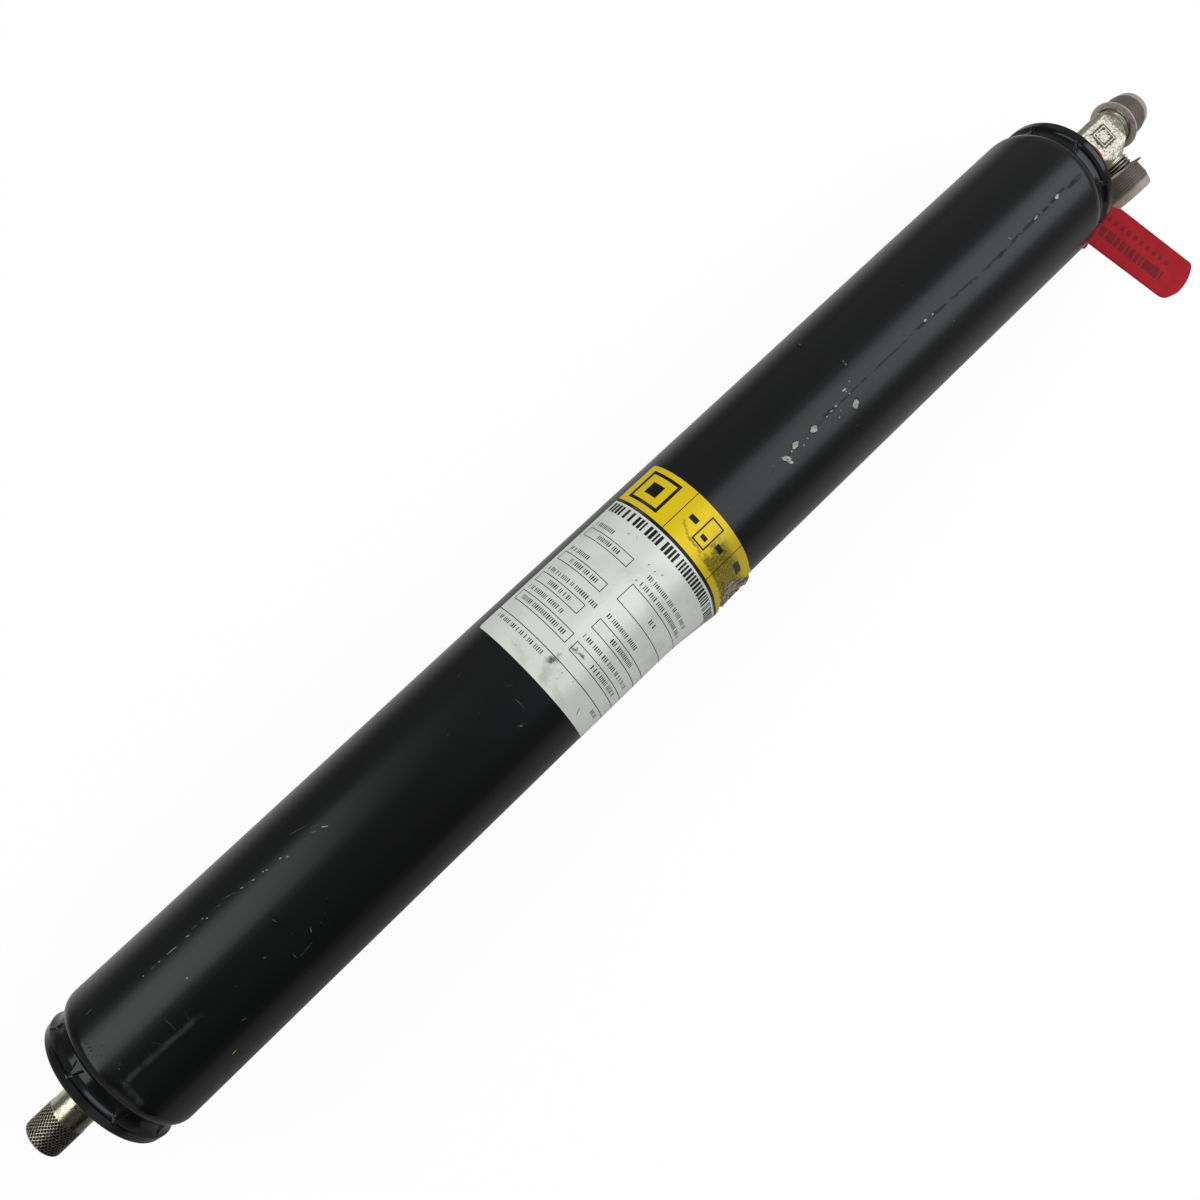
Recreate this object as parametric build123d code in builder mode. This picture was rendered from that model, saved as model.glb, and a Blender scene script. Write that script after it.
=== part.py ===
from build123d import *
import math
import os

# A crimped piston accumulator from a brake circuit, lying on its side.
# X runs along the tube towards the oil end, Z is up, and the branch outlet points to -Y.
# The origin is on the tube's axis, half way along the tube. Sizes are in millimetres.

# Shell tube: bought tube, crimped in over a cap at each end
tube_diameter = 63.5
bore_diameter = 50.8
tube_length = 557.4
shoulder_radius = 5.6
land_diameter = 59.7
land_width = 3.6
land_edge_radius = 0.8
groove_diameter = 57.8
groove_width = 5.4
groove_wall_run = 1.2
crimp_wall = 5.5

# Marks of the crimping jaws, pressed into the groove with a ridge between each two
jaw_count = 8
jaw_depth = 0.9
jaw_ridge_degrees = 3.6
jaw_margin = 0.3
jaw_side_run = 0.5
gas_ridge_angle = -20.0
oil_ridge_angle = -12.5

# End caps
cap_recess = 1.0
cap_depth = 30.0
cap_clearance = 0.1
cap_edge_chamfer = 0.8
dish_taper = 30.0
gas_cap_passage_diameter = 4.8
gas_cap_dish_diameter = 30.0
gas_cap_dish_depth = 5.0
oil_cap_dish_diameter = 26.0
oil_cap_dish_depth = 2.0

# Static seals of the end caps
cap_seal_section = 3.1
cap_seal_backup_width = 1.8
cap_seal_groove_slack = 0.6
cap_seal_back = 7.0

# Piston and its rings
piston_length = 38.0
piston_clearance = 0.3
piston_rest_gap = 0.3
piston_recess_diameter = 38.0
piston_recess_depth = 15.0
piston_recess_taper = 4.0
piston_edge_chamfer = 1.2
wear_ring_width = 6.0
wear_ring_thickness = 1.8
wear_ring_inset = 3.5
piston_seal_section = 3.4
piston_backup_width = 1.8
ring_bore_clearance = 0.1
ring_groove_clearance = 0.1

# Gas valve and its guard cap
valve_shank_diameter = 13.0
valve_shank_length = 14.0
valve_thread_clearance = 0.1
valve_hex_across_flats = 19.0
valve_hex_height = 5.0
valve_stem_diameter = 12.2
valve_stem_length = 19.5
valve_core_diameter = 5.2
valve_core_length = 15.0
valve_core_recess = 1.5
valve_core_clearance = 0.1
valve_core_edge = 0.3
valve_stem_edge = 0.5
valve_pin_diameter = 1.8
valve_pin_clearance = 0.2
valve_pin_stand_out = 1.0
valve_poppet_diameter = 4.0
valve_poppet_length = 2.0
valve_poppet_gap = 0.3
valve_pin_travel = 1.5
gas_passage_diameter = 2.4
valve_seal_section = 1.8
valve_seal_groove_slack = 0.2
guard_cap_diameter = 16.1
guard_grip_diameter = 16.5
guard_grip_length = 11.6
guard_cap_length = 24.0
guard_cap_seat_gap = 0.3
guard_thread_clearance = 0.3
guard_edge_chamfer = 1.0
guard_edge_round = 0.6
guard_vent_diameter = 1.6
guard_vent_from_mouth = 5.5
guard_seal_thickness = 1.4

# Oil port in the oil end cap
port_boss_diameter = 26.0
port_boss_height = 2.8
port_boss_taper = 8.0
port_seat_diameter = 14.6
port_seat_depth = 1.8
port_clearance = 0.1
oil_passage_diameter = 8.0
stud_diameter = 11.1
stud_engagement = 11.0
port_seal_section = 1.5
port_washer_diameter = 17.2
port_washer_thickness = 1.2
port_washer_edge = 0.2
locknut_across_flats = 14.3
locknut_height = 7.0
locknut_corner_cut = 0.2
locknut_taper = 2.0

# Forged tee
tee_block = 19.6
tee_centre_from_tube_end = 26.3
tee_block_edge = 1.1
tee_outer_corner = 3.6
tee_inner_corner = 1.6
tee_root_diameter = 18.4
tee_neck_diameter = 15.6
tee_neck_length = 1.5
tee_thread_diameter = 17.3
tee_thread_chamfer = 0.8
outlet_reach = 26.0
outlet_bore_diameter = 5.8
face_groove_diameter = 9.6
face_groove_width = 1.9
face_groove_depth = 1.3
face_seal_section = 1.7
forge_pad_side = 8.9
forge_pad_height = 0.6
forge_pad_rim = 0.9
forge_pad_sink = 0.35
forge_pad_corner = 1.2
forge_pad_taper = 12.0
forge_pad_shift_x = 0.4
forge_pad_shift_y = -0.4
stud_collar_diameter = 14.0
stud_collar_length = 0.9
stud_collar_taper = 20.0

# Push-on caps over the two outlets
push_cap_length = 14.2
push_cap_diameter = 20.2
push_cap_end_diameter = 16.4
push_cap_shoulder = 8.7
push_cap_wall_end = 1.2
push_cap_grip_clearance = 0.25
push_cap_bore_depth = 9.9
push_brim_diameter = 24.2
push_brim_thickness = 0.9
run_cap_end_past_outlet = 5.8
branch_cap_end_past_outlet = 5.3
run_cap_brim_from_centre = outlet_reach + run_cap_end_past_outlet - push_cap_length
branch_cap_brim_from_centre = outlet_reach + branch_cap_end_past_outlet - push_cap_length
branch_brim_tilt = 10.0
brim_bend = 44.0

# Rating label, wrapped part of the way round
label_thickness = 0.12
label_glue_gap = 0.03
label_start = -65.6
label_length = 98.5
label_start_angle = -63.5
label_sweep = 153.0
label_corner_radius = 1.5
label_tear_length = 14.0
label_tear_angle = 24.0

# Red tag: a strap round the neck of the tee, and a flag that lies on the floor
strap_width = 3.6
strap_thickness = 1.4
strap_loop_diameter = 24.1
strap_loop_side = 2.5
strap_loop_rise = 4.3
strap_clearance = 0.3
strap_straight_drop = 12.0
strap_foot_side = 21.0
strap_bend_radius = 7.0
tag_head_length = 9.0
tag_head_width = 10.5
tag_head_height = 4.0
tag_head_past_strap = 2.4
flag_thickness = 1.0
flag_width = 27.6
flag_length = 62.3
flag_lean = 10.1
flag_corner_radius = 4.5
flag_worn_corner_radius = 11.0
flag_end_bulge = 3.2
flag_end_slant = 1.6
flag_base_side = 23.0
flag_base_past_strap = 15.3
tail_width = 4.0
tail_length = 19.0
tail_lean = 10.0

# Places worked out from the sizes above
tube_radius = tube_diameter / 2
bore_radius = bore_diameter / 2
half_length = tube_length / 2
land_radius = land_diameter / 2
groove_radius = groove_diameter / 2
crimped_bore_radius = groove_radius - jaw_depth - crimp_wall
lip_bore_radius = land_radius - crimp_wall
groove_start = half_length - land_width
groove_end = groove_start - groove_width
shoulder_drop = shoulder_radius - (tube_radius - groove_radius)
shoulder_start = groove_end - math.sqrt(shoulder_radius**2 - shoulder_drop**2)
floor_z = -tube_radius

cap_face = half_length - cap_recess
cap_inside = cap_face - cap_depth
cap_body_radius = bore_radius - cap_clearance
cap_seal_groove_width = cap_seal_section + cap_seal_backup_width + cap_seal_groove_slack
cap_seal_groove_radius = bore_radius - ring_bore_clearance / 2 - cap_seal_section
cap_seal_groove_start = cap_inside + cap_seal_back - cap_seal_groove_width / 2

piston_radius = bore_radius - piston_clearance
piston_face = cap_inside - piston_rest_gap
piston_back = piston_face - piston_length
piston_ring_radius = bore_radius - ring_bore_clearance

stem_start = -(cap_face + valve_hex_height)
stem_end = stem_start - valve_stem_length
guard_mouth = stem_start - guard_cap_seat_gap
guard_end = guard_mouth - guard_cap_length
core_start = stem_end + valve_core_recess
core_end = core_start + valve_core_length
guard_bore_radius = valve_stem_diameter / 2 + guard_thread_clearance

boss_face = cap_face + port_boss_height
port_radius = stud_diameter / 2 + port_clearance
tee_x = half_length + tee_centre_from_tube_end
block_back = tee_x - tee_block / 2
nut_start = boss_face + port_washer_thickness
stud_end = boss_face - stud_engagement
thread_start = tee_block / 2 + tee_neck_length
cap_bore_radius = tee_thread_diameter / 2 + push_cap_grip_clearance

strap_x = block_back - stud_collar_length - strap_clearance - strap_width / 2
strap_mean_radius = (strap_loop_diameter - strap_thickness) / 2

os.makedirs("parts", exist_ok=True)


def ring_part(start, width, inner_radius, outer_radius, edge=0.0):
    """A plain turned ring about the tube's axis, from start along X."""
    with BuildPart() as ring:
        with BuildSketch(Plane.YZ.offset(start)):
            Circle(outer_radius)
            Circle(inner_radius, mode=Mode.SUBTRACT)
        extrude(amount=width)
        if edge > 0:
            chamfer(ring.edges().filter_by(GeomType.CIRCLE), edge)
    return ring.part


def seal_part(centre, section, outer_radius):
    """A rubber ring of round section about the tube's axis."""
    with BuildPart() as seal:
        with BuildSketch(Plane.XY):
            with Locations((centre, outer_radius - section / 2)):
                Circle(section / 2)
        revolve(axis=Axis.X)
    return seal.part


def jaw_bite(side):
    """The metal that one crimping jaw presses away, starting in the XY plane."""
    near = groove_start - groove_wall_run - jaw_margin
    far = groove_end + jaw_margin
    floor_radius = groove_radius - jaw_depth
    arc = 360 / jaw_count - jaw_ridge_degrees
    with BuildPart() as bite:
        with BuildSketch(Plane.XY):
            with BuildLine():
                Polyline(
                    (side * near, groove_radius),
                    (side * (near - jaw_side_run), floor_radius),
                    (side * (far + jaw_side_run), floor_radius),
                    (side * far, groove_radius),
                    (side * far, tube_radius),
                    (side * near, tube_radius),
                    close=True,
                )
            make_face()
        revolve(axis=Axis.X, revolution_arc=arc)
    return bite.part


def jaw_angles(ridge_angle):
    """Turns about X that bring the bite between each two ridges, measured from Z."""
    step = 360 / jaw_count
    first = 90 + ridge_angle + jaw_ridge_degrees / 2
    return [first + step * number for number in range(jaw_count)]


# Shell tube with its rounded shoulders, crimp grooves and end lips
with BuildPart() as shell_tube:
    with BuildSketch(Plane.XY):
        with BuildLine():
            Line((0, bore_radius), (0, tube_radius))
            Line((0, tube_radius), (shoulder_start, tube_radius))
            RadiusArc(
                (shoulder_start, tube_radius),
                (groove_end, groove_radius),
                shoulder_radius,
            )
            Polyline(
                (groove_end, groove_radius),
                (groove_start - groove_wall_run, groove_radius),
                (groove_start, land_radius),
                (half_length - land_edge_radius, land_radius),
            )
            RadiusArc(
                (half_length - land_edge_radius, land_radius),
                (half_length, land_radius - land_edge_radius),
                land_edge_radius,
            )
            Polyline(
                (half_length, land_radius - land_edge_radius),
                (half_length, lip_bore_radius),
                (groove_start, lip_bore_radius),
                (groove_start - groove_wall_run, crimped_bore_radius),
                (groove_end, crimped_bore_radius),
                (shoulder_start, bore_radius),
                (0, bore_radius),
            )
        make_face()
    revolve(axis=Axis.X)
    mirror(about=Plane.YZ)
    for turn in jaw_angles(gas_ridge_angle):
        add(jaw_bite(-1).rotate(Axis.X, turn), mode=Mode.SUBTRACT)
    for turn in jaw_angles(oil_ridge_angle):
        add(jaw_bite(1).rotate(Axis.X, turn), mode=Mode.SUBTRACT)
shell_tube.part.label = "shell_tube"
export_step(shell_tube.part, "parts/shell_tube.step")


def end_cap_blank(side):
    """The turned blank of an end cap: lip flange, crimped neck and sealed body."""
    lip = lip_bore_radius - cap_clearance
    neck = crimped_bore_radius - cap_clearance
    seal_end = cap_seal_groove_start + cap_seal_groove_width
    with BuildPart() as blank:
        with BuildSketch(Plane.XY):
            with BuildLine():
                Polyline(
                    (side * cap_face, 0),
                    (side * cap_face, lip - cap_edge_chamfer),
                    (side * (cap_face - cap_edge_chamfer), lip),
                    (side * (groove_start + cap_clearance), lip),
                    (side * (groove_start - groove_wall_run), neck),
                    (side * groove_end, neck),
                    (side * (shoulder_start - cap_clearance), cap_body_radius),
                    (side * seal_end, cap_body_radius),
                    (side * seal_end, cap_seal_groove_radius),
                    (side * cap_seal_groove_start, cap_seal_groove_radius),
                    (side * cap_seal_groove_start, cap_body_radius),
                    (side * (cap_inside + cap_edge_chamfer), cap_body_radius),
                    (side * cap_inside, cap_body_radius - cap_edge_chamfer),
                    (side * cap_inside, 0),
                    close=True,
                )
            make_face()
        revolve(axis=Axis.X)
    return blank.part


# Gas end cap, drilled for the gas valve
with BuildPart() as gas_end_cap:
    add(end_cap_blank(-1))
    with BuildSketch(Plane.YZ.offset(-cap_face)):
        Circle(valve_shank_diameter / 2 + valve_thread_clearance)
    extrude(amount=valve_shank_length + valve_thread_clearance, mode=Mode.SUBTRACT)
    with BuildSketch(Plane.YZ.offset(-cap_face)):
        Circle(gas_cap_passage_diameter / 2)
    extrude(amount=cap_depth, mode=Mode.SUBTRACT)
    with BuildSketch(Plane.YZ.offset(-cap_inside)):
        Circle(gas_cap_dish_diameter / 2)
    extrude(amount=-gas_cap_dish_depth, taper=dish_taper, mode=Mode.SUBTRACT)
gas_end_cap.part.label = "gas_end_cap"
export_step(gas_end_cap.part, "parts/gas_end_cap.step")

# Oil end cap with its raised port boss, seal seat and oil passage
with BuildPart() as oil_end_cap:
    add(end_cap_blank(1))
    with BuildSketch(Plane.YZ.offset(cap_face)):
        Circle(port_boss_diameter / 2)
    extrude(amount=port_boss_height, taper=port_boss_taper)
    with BuildSketch(Plane.YZ.offset(boss_face)):
        Circle(port_seat_diameter / 2)
    extrude(amount=-port_seat_depth, mode=Mode.SUBTRACT)
    with BuildSketch(Plane.YZ.offset(boss_face)):
        Circle(port_radius)
    extrude(amount=-(stud_engagement + port_clearance), mode=Mode.SUBTRACT)
    with BuildSketch(Plane.YZ.offset(boss_face)):
        Circle(oil_passage_diameter / 2)
    extrude(amount=-(port_boss_height + cap_depth), mode=Mode.SUBTRACT)
    with BuildSketch(Plane.YZ.offset(cap_inside)):
        Circle(oil_cap_dish_diameter / 2)
    extrude(amount=oil_cap_dish_depth, taper=dish_taper, mode=Mode.SUBTRACT)
oil_end_cap.part.label = "oil_end_cap"
export_step(oil_end_cap.part, "parts/oil_end_cap.step")


def cap_seal(side):
    """The rubber ring of an end cap, on the pressure side of its groove."""
    centre = cap_seal_groove_start + ring_groove_clearance + cap_seal_section / 2
    return seal_part(side * centre, cap_seal_section, bore_radius - ring_bore_clearance / 2)


def cap_backup(side):
    """The hard ring behind an end cap's rubber ring."""
    near = cap_seal_groove_start + cap_seal_groove_width - ring_groove_clearance
    start = side * near - (cap_seal_backup_width if side > 0 else 0)
    inner = cap_seal_groove_radius + ring_groove_clearance
    return ring_part(start, cap_seal_backup_width, inner, bore_radius - ring_bore_clearance)


# Seals of the two end caps
with BuildPart() as gas_cap_o_ring:
    add(cap_seal(-1))
gas_cap_o_ring.part.label = "gas_cap_o_ring"
export_step(gas_cap_o_ring.part, "parts/gas_cap_o_ring.step")

with BuildPart() as gas_cap_backup_ring:
    add(cap_backup(-1))
gas_cap_backup_ring.part.label = "gas_cap_backup_ring"
export_step(gas_cap_backup_ring.part, "parts/gas_cap_backup_ring.step")

with BuildPart() as oil_cap_o_ring:
    add(cap_seal(1))
oil_cap_o_ring.part.label = "oil_cap_o_ring"
export_step(oil_cap_o_ring.part, "parts/oil_cap_o_ring.step")

with BuildPart() as oil_cap_backup_ring:
    add(cap_backup(1))
oil_cap_backup_ring.part.label = "oil_cap_backup_ring"
export_step(oil_cap_backup_ring.part, "parts/oil_cap_backup_ring.step")

# Piston: hollow towards the gas, with a seal groove between two wear ring grooves
piston_seal_groove_width = piston_seal_section + 2 * (piston_backup_width + ring_groove_clearance)
piston_seal_groove_radius = piston_ring_radius - piston_seal_section
piston_seal_centre = piston_back + piston_length / 2
wear_groove_width = wear_ring_width + 2 * ring_groove_clearance
wear_groove_radius = piston_ring_radius - wear_ring_thickness - ring_groove_clearance
front_wear_start = piston_face - wear_ring_inset - wear_groove_width
rear_wear_start = piston_back + wear_ring_inset

with BuildPart() as piston:
    with BuildSketch(Plane.YZ.offset(piston_back)):
        Circle(piston_radius)
    extrude(amount=piston_length)
    chamfer(piston.edges().filter_by(GeomType.CIRCLE), piston_edge_chamfer)
    with BuildSketch(Plane.YZ.offset(piston_back)):
        Circle(piston_recess_diameter / 2)
    extrude(amount=piston_recess_depth, taper=piston_recess_taper, mode=Mode.SUBTRACT)
    add(
        ring_part(
            piston_seal_centre - piston_seal_groove_width / 2,
            piston_seal_groove_width,
            piston_seal_groove_radius,
            bore_radius,
        ),
        mode=Mode.SUBTRACT,
    )
    for start in (front_wear_start, rear_wear_start):
        add(
            ring_part(start, wear_groove_width, wear_groove_radius, bore_radius),
            mode=Mode.SUBTRACT,
        )
piston.part.label = "piston"
export_step(piston.part, "parts/piston.step")

with BuildPart() as piston_o_ring:
    add(seal_part(piston_seal_centre, piston_seal_section, piston_ring_radius))
piston_o_ring.part.label = "piston_o_ring"
export_step(piston_o_ring.part, "parts/piston_o_ring.step")


def piston_backup(side):
    """A hard ring beside the piston's rubber ring."""
    centre = piston_seal_centre + side * (piston_seal_section + piston_backup_width) / 2
    inner = piston_seal_groove_radius + ring_groove_clearance
    start = centre - piston_backup_width / 2
    return ring_part(start, piston_backup_width, inner, piston_ring_radius)


with BuildPart() as piston_gas_backup_ring:
    add(piston_backup(-1))
piston_gas_backup_ring.part.label = "piston_gas_backup_ring"
export_step(piston_gas_backup_ring.part, "parts/piston_gas_backup_ring.step")

with BuildPart() as piston_oil_backup_ring:
    add(piston_backup(1))
piston_oil_backup_ring.part.label = "piston_oil_backup_ring"
export_step(piston_oil_backup_ring.part, "parts/piston_oil_backup_ring.step")


def wear_ring(start):
    """A plastic bearing ring in one of the piston's outer grooves."""
    inner = wear_groove_radius + ring_groove_clearance
    return ring_part(start + ring_groove_clearance, wear_ring_width, inner, piston_ring_radius)


with BuildPart() as piston_gas_wear_ring:
    add(wear_ring(rear_wear_start))
piston_gas_wear_ring.part.label = "piston_gas_wear_ring"
export_step(piston_gas_wear_ring.part, "parts/piston_gas_wear_ring.step")

with BuildPart() as piston_oil_wear_ring:
    add(wear_ring(front_wear_start))
piston_oil_wear_ring.part.label = "piston_oil_wear_ring"
export_step(piston_oil_wear_ring.part, "parts/piston_oil_wear_ring.step")

# Gas valve body: shank in the cap, hexagon, stem, and a seat for its seal under the hexagon
valve_seal_groove = valve_seal_section + valve_seal_groove_slack
valve_seal_outer_radius = valve_shank_diameter / 2 + valve_thread_clearance + valve_seal_section
pin_bore_radius = valve_pin_diameter / 2 + valve_pin_clearance
core_bore_radius = valve_core_diameter / 2 + valve_core_clearance
poppet_start = core_end + valve_poppet_gap
poppet_room = poppet_start + valve_poppet_length + valve_pin_travel + valve_poppet_gap

with BuildPart() as gas_valve_body:
    with BuildSketch(Plane.YZ.offset(-cap_face)):
        RegularPolygon(valve_hex_across_flats / 2, 6, major_radius=False)
    extrude(amount=-valve_hex_height)
    chamfer(gas_valve_body.faces().sort_by(Axis.X)[0].edges(), cap_edge_chamfer)
    with BuildSketch(Plane.YZ.offset(-cap_face)):
        Circle(valve_shank_diameter / 2)
    extrude(amount=valve_shank_length)
    with BuildSketch(Plane.YZ.offset(stem_start)):
        Circle(valve_stem_diameter / 2)
    extrude(amount=-valve_stem_length)
    chamfer(gas_valve_body.faces().sort_by(Axis.X)[0].edges(), valve_stem_edge)
    add(
        ring_part(
            -cap_face - valve_seal_groove,
            valve_seal_groove,
            valve_shank_diameter / 2,
            valve_seal_outer_radius + valve_seal_groove_slack / 2,
        ),
        mode=Mode.SUBTRACT,
    )
    with BuildSketch(Plane.YZ.offset(stem_end)):
        Circle(core_bore_radius)
    extrude(amount=poppet_room - stem_end, mode=Mode.SUBTRACT)
    with BuildSketch(Plane.YZ.offset(stem_end)):
        Circle(gas_passage_diameter / 2)
    extrude(amount=valve_stem_length + valve_hex_height + valve_shank_length, mode=Mode.SUBTRACT)
gas_valve_body.part.label = "gas_valve_body"
export_step(gas_valve_body.part, "parts/gas_valve_body.step")

with BuildPart() as gas_valve_o_ring:
    seal_centre = -cap_face - valve_seal_groove / 2
    add(seal_part(seal_centre, valve_seal_section, valve_seal_outer_radius))
gas_valve_o_ring.part.label = "gas_valve_o_ring"
export_step(gas_valve_o_ring.part, "parts/gas_valve_o_ring.step")

with BuildPart() as gas_valve_core:
    core_radius = valve_core_diameter / 2
    add(ring_part(core_start, valve_core_length, pin_bore_radius, core_radius, valve_core_edge))
gas_valve_core.part.label = "gas_valve_core"
export_step(gas_valve_core.part, "parts/gas_valve_core.step")

with BuildPart() as gas_valve_pin:
    pin_start = core_start - valve_pin_stand_out
    with BuildSketch(Plane.YZ.offset(pin_start)):
        Circle(valve_pin_diameter / 2)
    extrude(amount=poppet_start - pin_start)
    with BuildSketch(Plane.YZ.offset(poppet_start)):
        Circle(valve_poppet_diameter / 2)
    extrude(amount=valve_poppet_length)
gas_valve_pin.part.label = "gas_valve_pin"
export_step(gas_valve_pin.part, "parts/gas_valve_pin.step")

# Guard cap over the gas valve: closed sleeve with a grip band at its outer end
grip_start = guard_end + guard_grip_length

with BuildPart() as valve_guard_cap:
    with BuildSketch(Plane.XY):
        with BuildLine():
            Polyline(
                (guard_end, 0),
                (guard_end, guard_grip_diameter / 2 - guard_edge_chamfer),
                (guard_end + guard_edge_chamfer, guard_grip_diameter / 2),
                (grip_start, guard_grip_diameter / 2),
                (grip_start + guard_edge_round, guard_cap_diameter / 2),
                (guard_mouth - guard_edge_round, guard_cap_diameter / 2),
                (guard_mouth, guard_cap_diameter / 2 - guard_edge_round),
                (guard_mouth, guard_bore_radius),
                (stem_end - guard_seal_thickness, guard_bore_radius),
                (stem_end - guard_seal_thickness, 0),
                close=True,
            )
        make_face()
    revolve(axis=Axis.X)
    with BuildSketch(Plane.XY.offset(guard_bore_radius)):
        with Locations((guard_mouth - guard_vent_from_mouth, 0)):
            Circle(guard_vent_diameter / 2)
    extrude(amount=guard_cap_diameter / 2, both=True, mode=Mode.SUBTRACT)
valve_guard_cap.part.label = "valve_guard_cap"
export_step(valve_guard_cap.part, "parts/valve_guard_cap.step")

with BuildPart() as guard_cap_seal:
    add(
        ring_part(
            stem_end - guard_seal_thickness,
            guard_seal_thickness - guard_cap_seat_gap / 2,
            core_bore_radius,
            guard_bore_radius - guard_thread_clearance / 2,
        )
    )
guard_cap_seal.part.label = "guard_cap_seal"
export_step(guard_cap_seal.part, "parts/guard_cap_seal.step")

# Oil port seal, washer and locknut on the tee's stud
with BuildPart() as port_o_ring:
    seat_seal_radius = stud_diameter / 2 + port_clearance / 2 + port_seal_section
    add(seal_part(boss_face - port_seal_section / 2 - port_clearance, port_seal_section, seat_seal_radius))
port_o_ring.part.label = "port_o_ring"
export_step(port_o_ring.part, "parts/port_o_ring.step")

with BuildPart() as port_washer:
    add(ring_part(boss_face, port_washer_thickness, port_radius, port_washer_diameter / 2, port_washer_edge))
port_washer.part.label = "port_washer"
export_step(port_washer.part, "parts/port_washer.step")

with BuildPart() as tee_locknut:
    with BuildSketch(Plane.YZ.offset(nut_start)):
        RegularPolygon(locknut_across_flats / 2, 6, major_radius=False)
    extrude(amount=locknut_height)
    with BuildSketch(Plane.YZ.offset(nut_start + locknut_height)):
        Circle(locknut_across_flats / math.sqrt(3) - locknut_corner_cut)
    extrude(amount=-locknut_height, taper=-locknut_taper, mode=Mode.INTERSECT)
    with BuildSketch(Plane.YZ.offset(nut_start)):
        Circle(port_radius)
    extrude(amount=locknut_height, mode=Mode.SUBTRACT)
tee_locknut.part.label = "tee_locknut"
export_step(tee_locknut.part, "parts/tee_locknut.step")


def outlet_barrel():
    """One outlet of the tee, along +X from the block's centre: root, neck and thread."""
    root = tee_root_diameter / 2
    neck = tee_neck_diameter / 2
    thread = tee_thread_diameter / 2
    with BuildPart() as barrel:
        with BuildSketch(Plane.XY):
            with BuildLine():
                Polyline(
                    (0, 0),
                    (0, root),
                    (tee_block / 2 - tee_block_edge, root),
                    (tee_block / 2 + tee_neck_length / 2, neck),
                    (thread_start, neck),
                    (thread_start + tee_thread_chamfer, thread),
                    (outlet_reach - tee_thread_chamfer, thread),
                    (outlet_reach, thread - tee_thread_chamfer),
                    (outlet_reach, 0),
                    close=True,
                )
            make_face()
        revolve(axis=Axis.X)
    return barrel.part


def outlet_cut():
    """The oil way and the face seal groove of one outlet, along +X."""
    groove_middle = face_groove_diameter / 2
    with BuildPart() as cut:
        with BuildSketch(Plane.YZ):
            Circle(outlet_bore_diameter / 2)
        extrude(amount=outlet_reach)
        with BuildSketch(Plane.YZ.offset(outlet_reach - face_groove_depth)):
            Circle(groove_middle + face_groove_width / 2)
            Circle(groove_middle - face_groove_width / 2, mode=Mode.SUBTRACT)
        extrude(amount=face_groove_depth)
    return cut.part


def face_seal():
    """The rubber ring in an outlet's face, along +X."""
    outer = (face_groove_diameter + face_seal_section) / 2
    seat = outlet_reach - face_groove_depth + face_seal_section / 2
    return seal_part(seat, face_seal_section, outer)


run_outlet = Location((tee_x, 0, 0))
branch_outlet = Location((tee_x, 0, 0), (0, 0, -90))

# Forged tee: block, two threaded outlets, raised square mark, and the stud into the cap
with BuildPart() as tee_body:
    with Locations((tee_x, 0, 0)):
        Box(tee_block, tee_block, tee_block)
    upright = tee_body.edges().filter_by(Axis.Z).group_by(Axis.X)
    fillet(upright[-1], tee_outer_corner)
    upright = tee_body.edges().filter_by(Axis.Z).group_by(Axis.X)
    fillet(upright[0], tee_inner_corner)
    top_and_bottom = tee_body.faces().filter_by(Axis.Z)
    chamfer(top_and_bottom.edges(), tee_block_edge)
    with Locations(run_outlet, branch_outlet):
        add(outlet_barrel())
    with BuildSketch(Plane.XY.offset(tee_block / 2)):
        with Locations((tee_x + forge_pad_shift_x, forge_pad_shift_y)):
            RectangleRounded(forge_pad_side, forge_pad_side, forge_pad_corner)
    extrude(amount=forge_pad_height, taper=forge_pad_taper)
    with BuildSketch(Plane.XY.offset(tee_block / 2 + forge_pad_height)):
        with Locations((tee_x + forge_pad_shift_x, forge_pad_shift_y)):
            inner_side = forge_pad_side - 2 * forge_pad_rim
            RectangleRounded(inner_side, inner_side, forge_pad_corner / 2)
    extrude(amount=-forge_pad_sink, mode=Mode.SUBTRACT)
    with BuildSketch(Plane.YZ.offset(block_back)):
        Circle(stud_collar_diameter / 2)
    extrude(amount=-stud_collar_length, taper=stud_collar_taper)
    with BuildSketch(Plane.YZ.offset(block_back)):
        Circle(stud_diameter / 2)
    extrude(amount=stud_end - block_back)
    with Locations(run_outlet, branch_outlet):
        add(outlet_cut(), mode=Mode.SUBTRACT)
    with BuildSketch(Plane.YZ.offset(tee_x)):
        Circle(outlet_bore_diameter / 2)
    extrude(amount=stud_end - tee_x, mode=Mode.SUBTRACT)
tee_body.part.label = "tee_body"
export_step(tee_body.part, "parts/tee_body.step")

with BuildPart() as run_face_o_ring:
    add(run_outlet * face_seal())
run_face_o_ring.part.label = "run_face_o_ring"
export_step(run_face_o_ring.part, "parts/run_face_o_ring.step")

with BuildPart() as branch_face_o_ring:
    add(branch_outlet * face_seal())
branch_face_o_ring.part.label = "branch_face_o_ring"
export_step(branch_face_o_ring.part, "parts/branch_face_o_ring.step")


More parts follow.
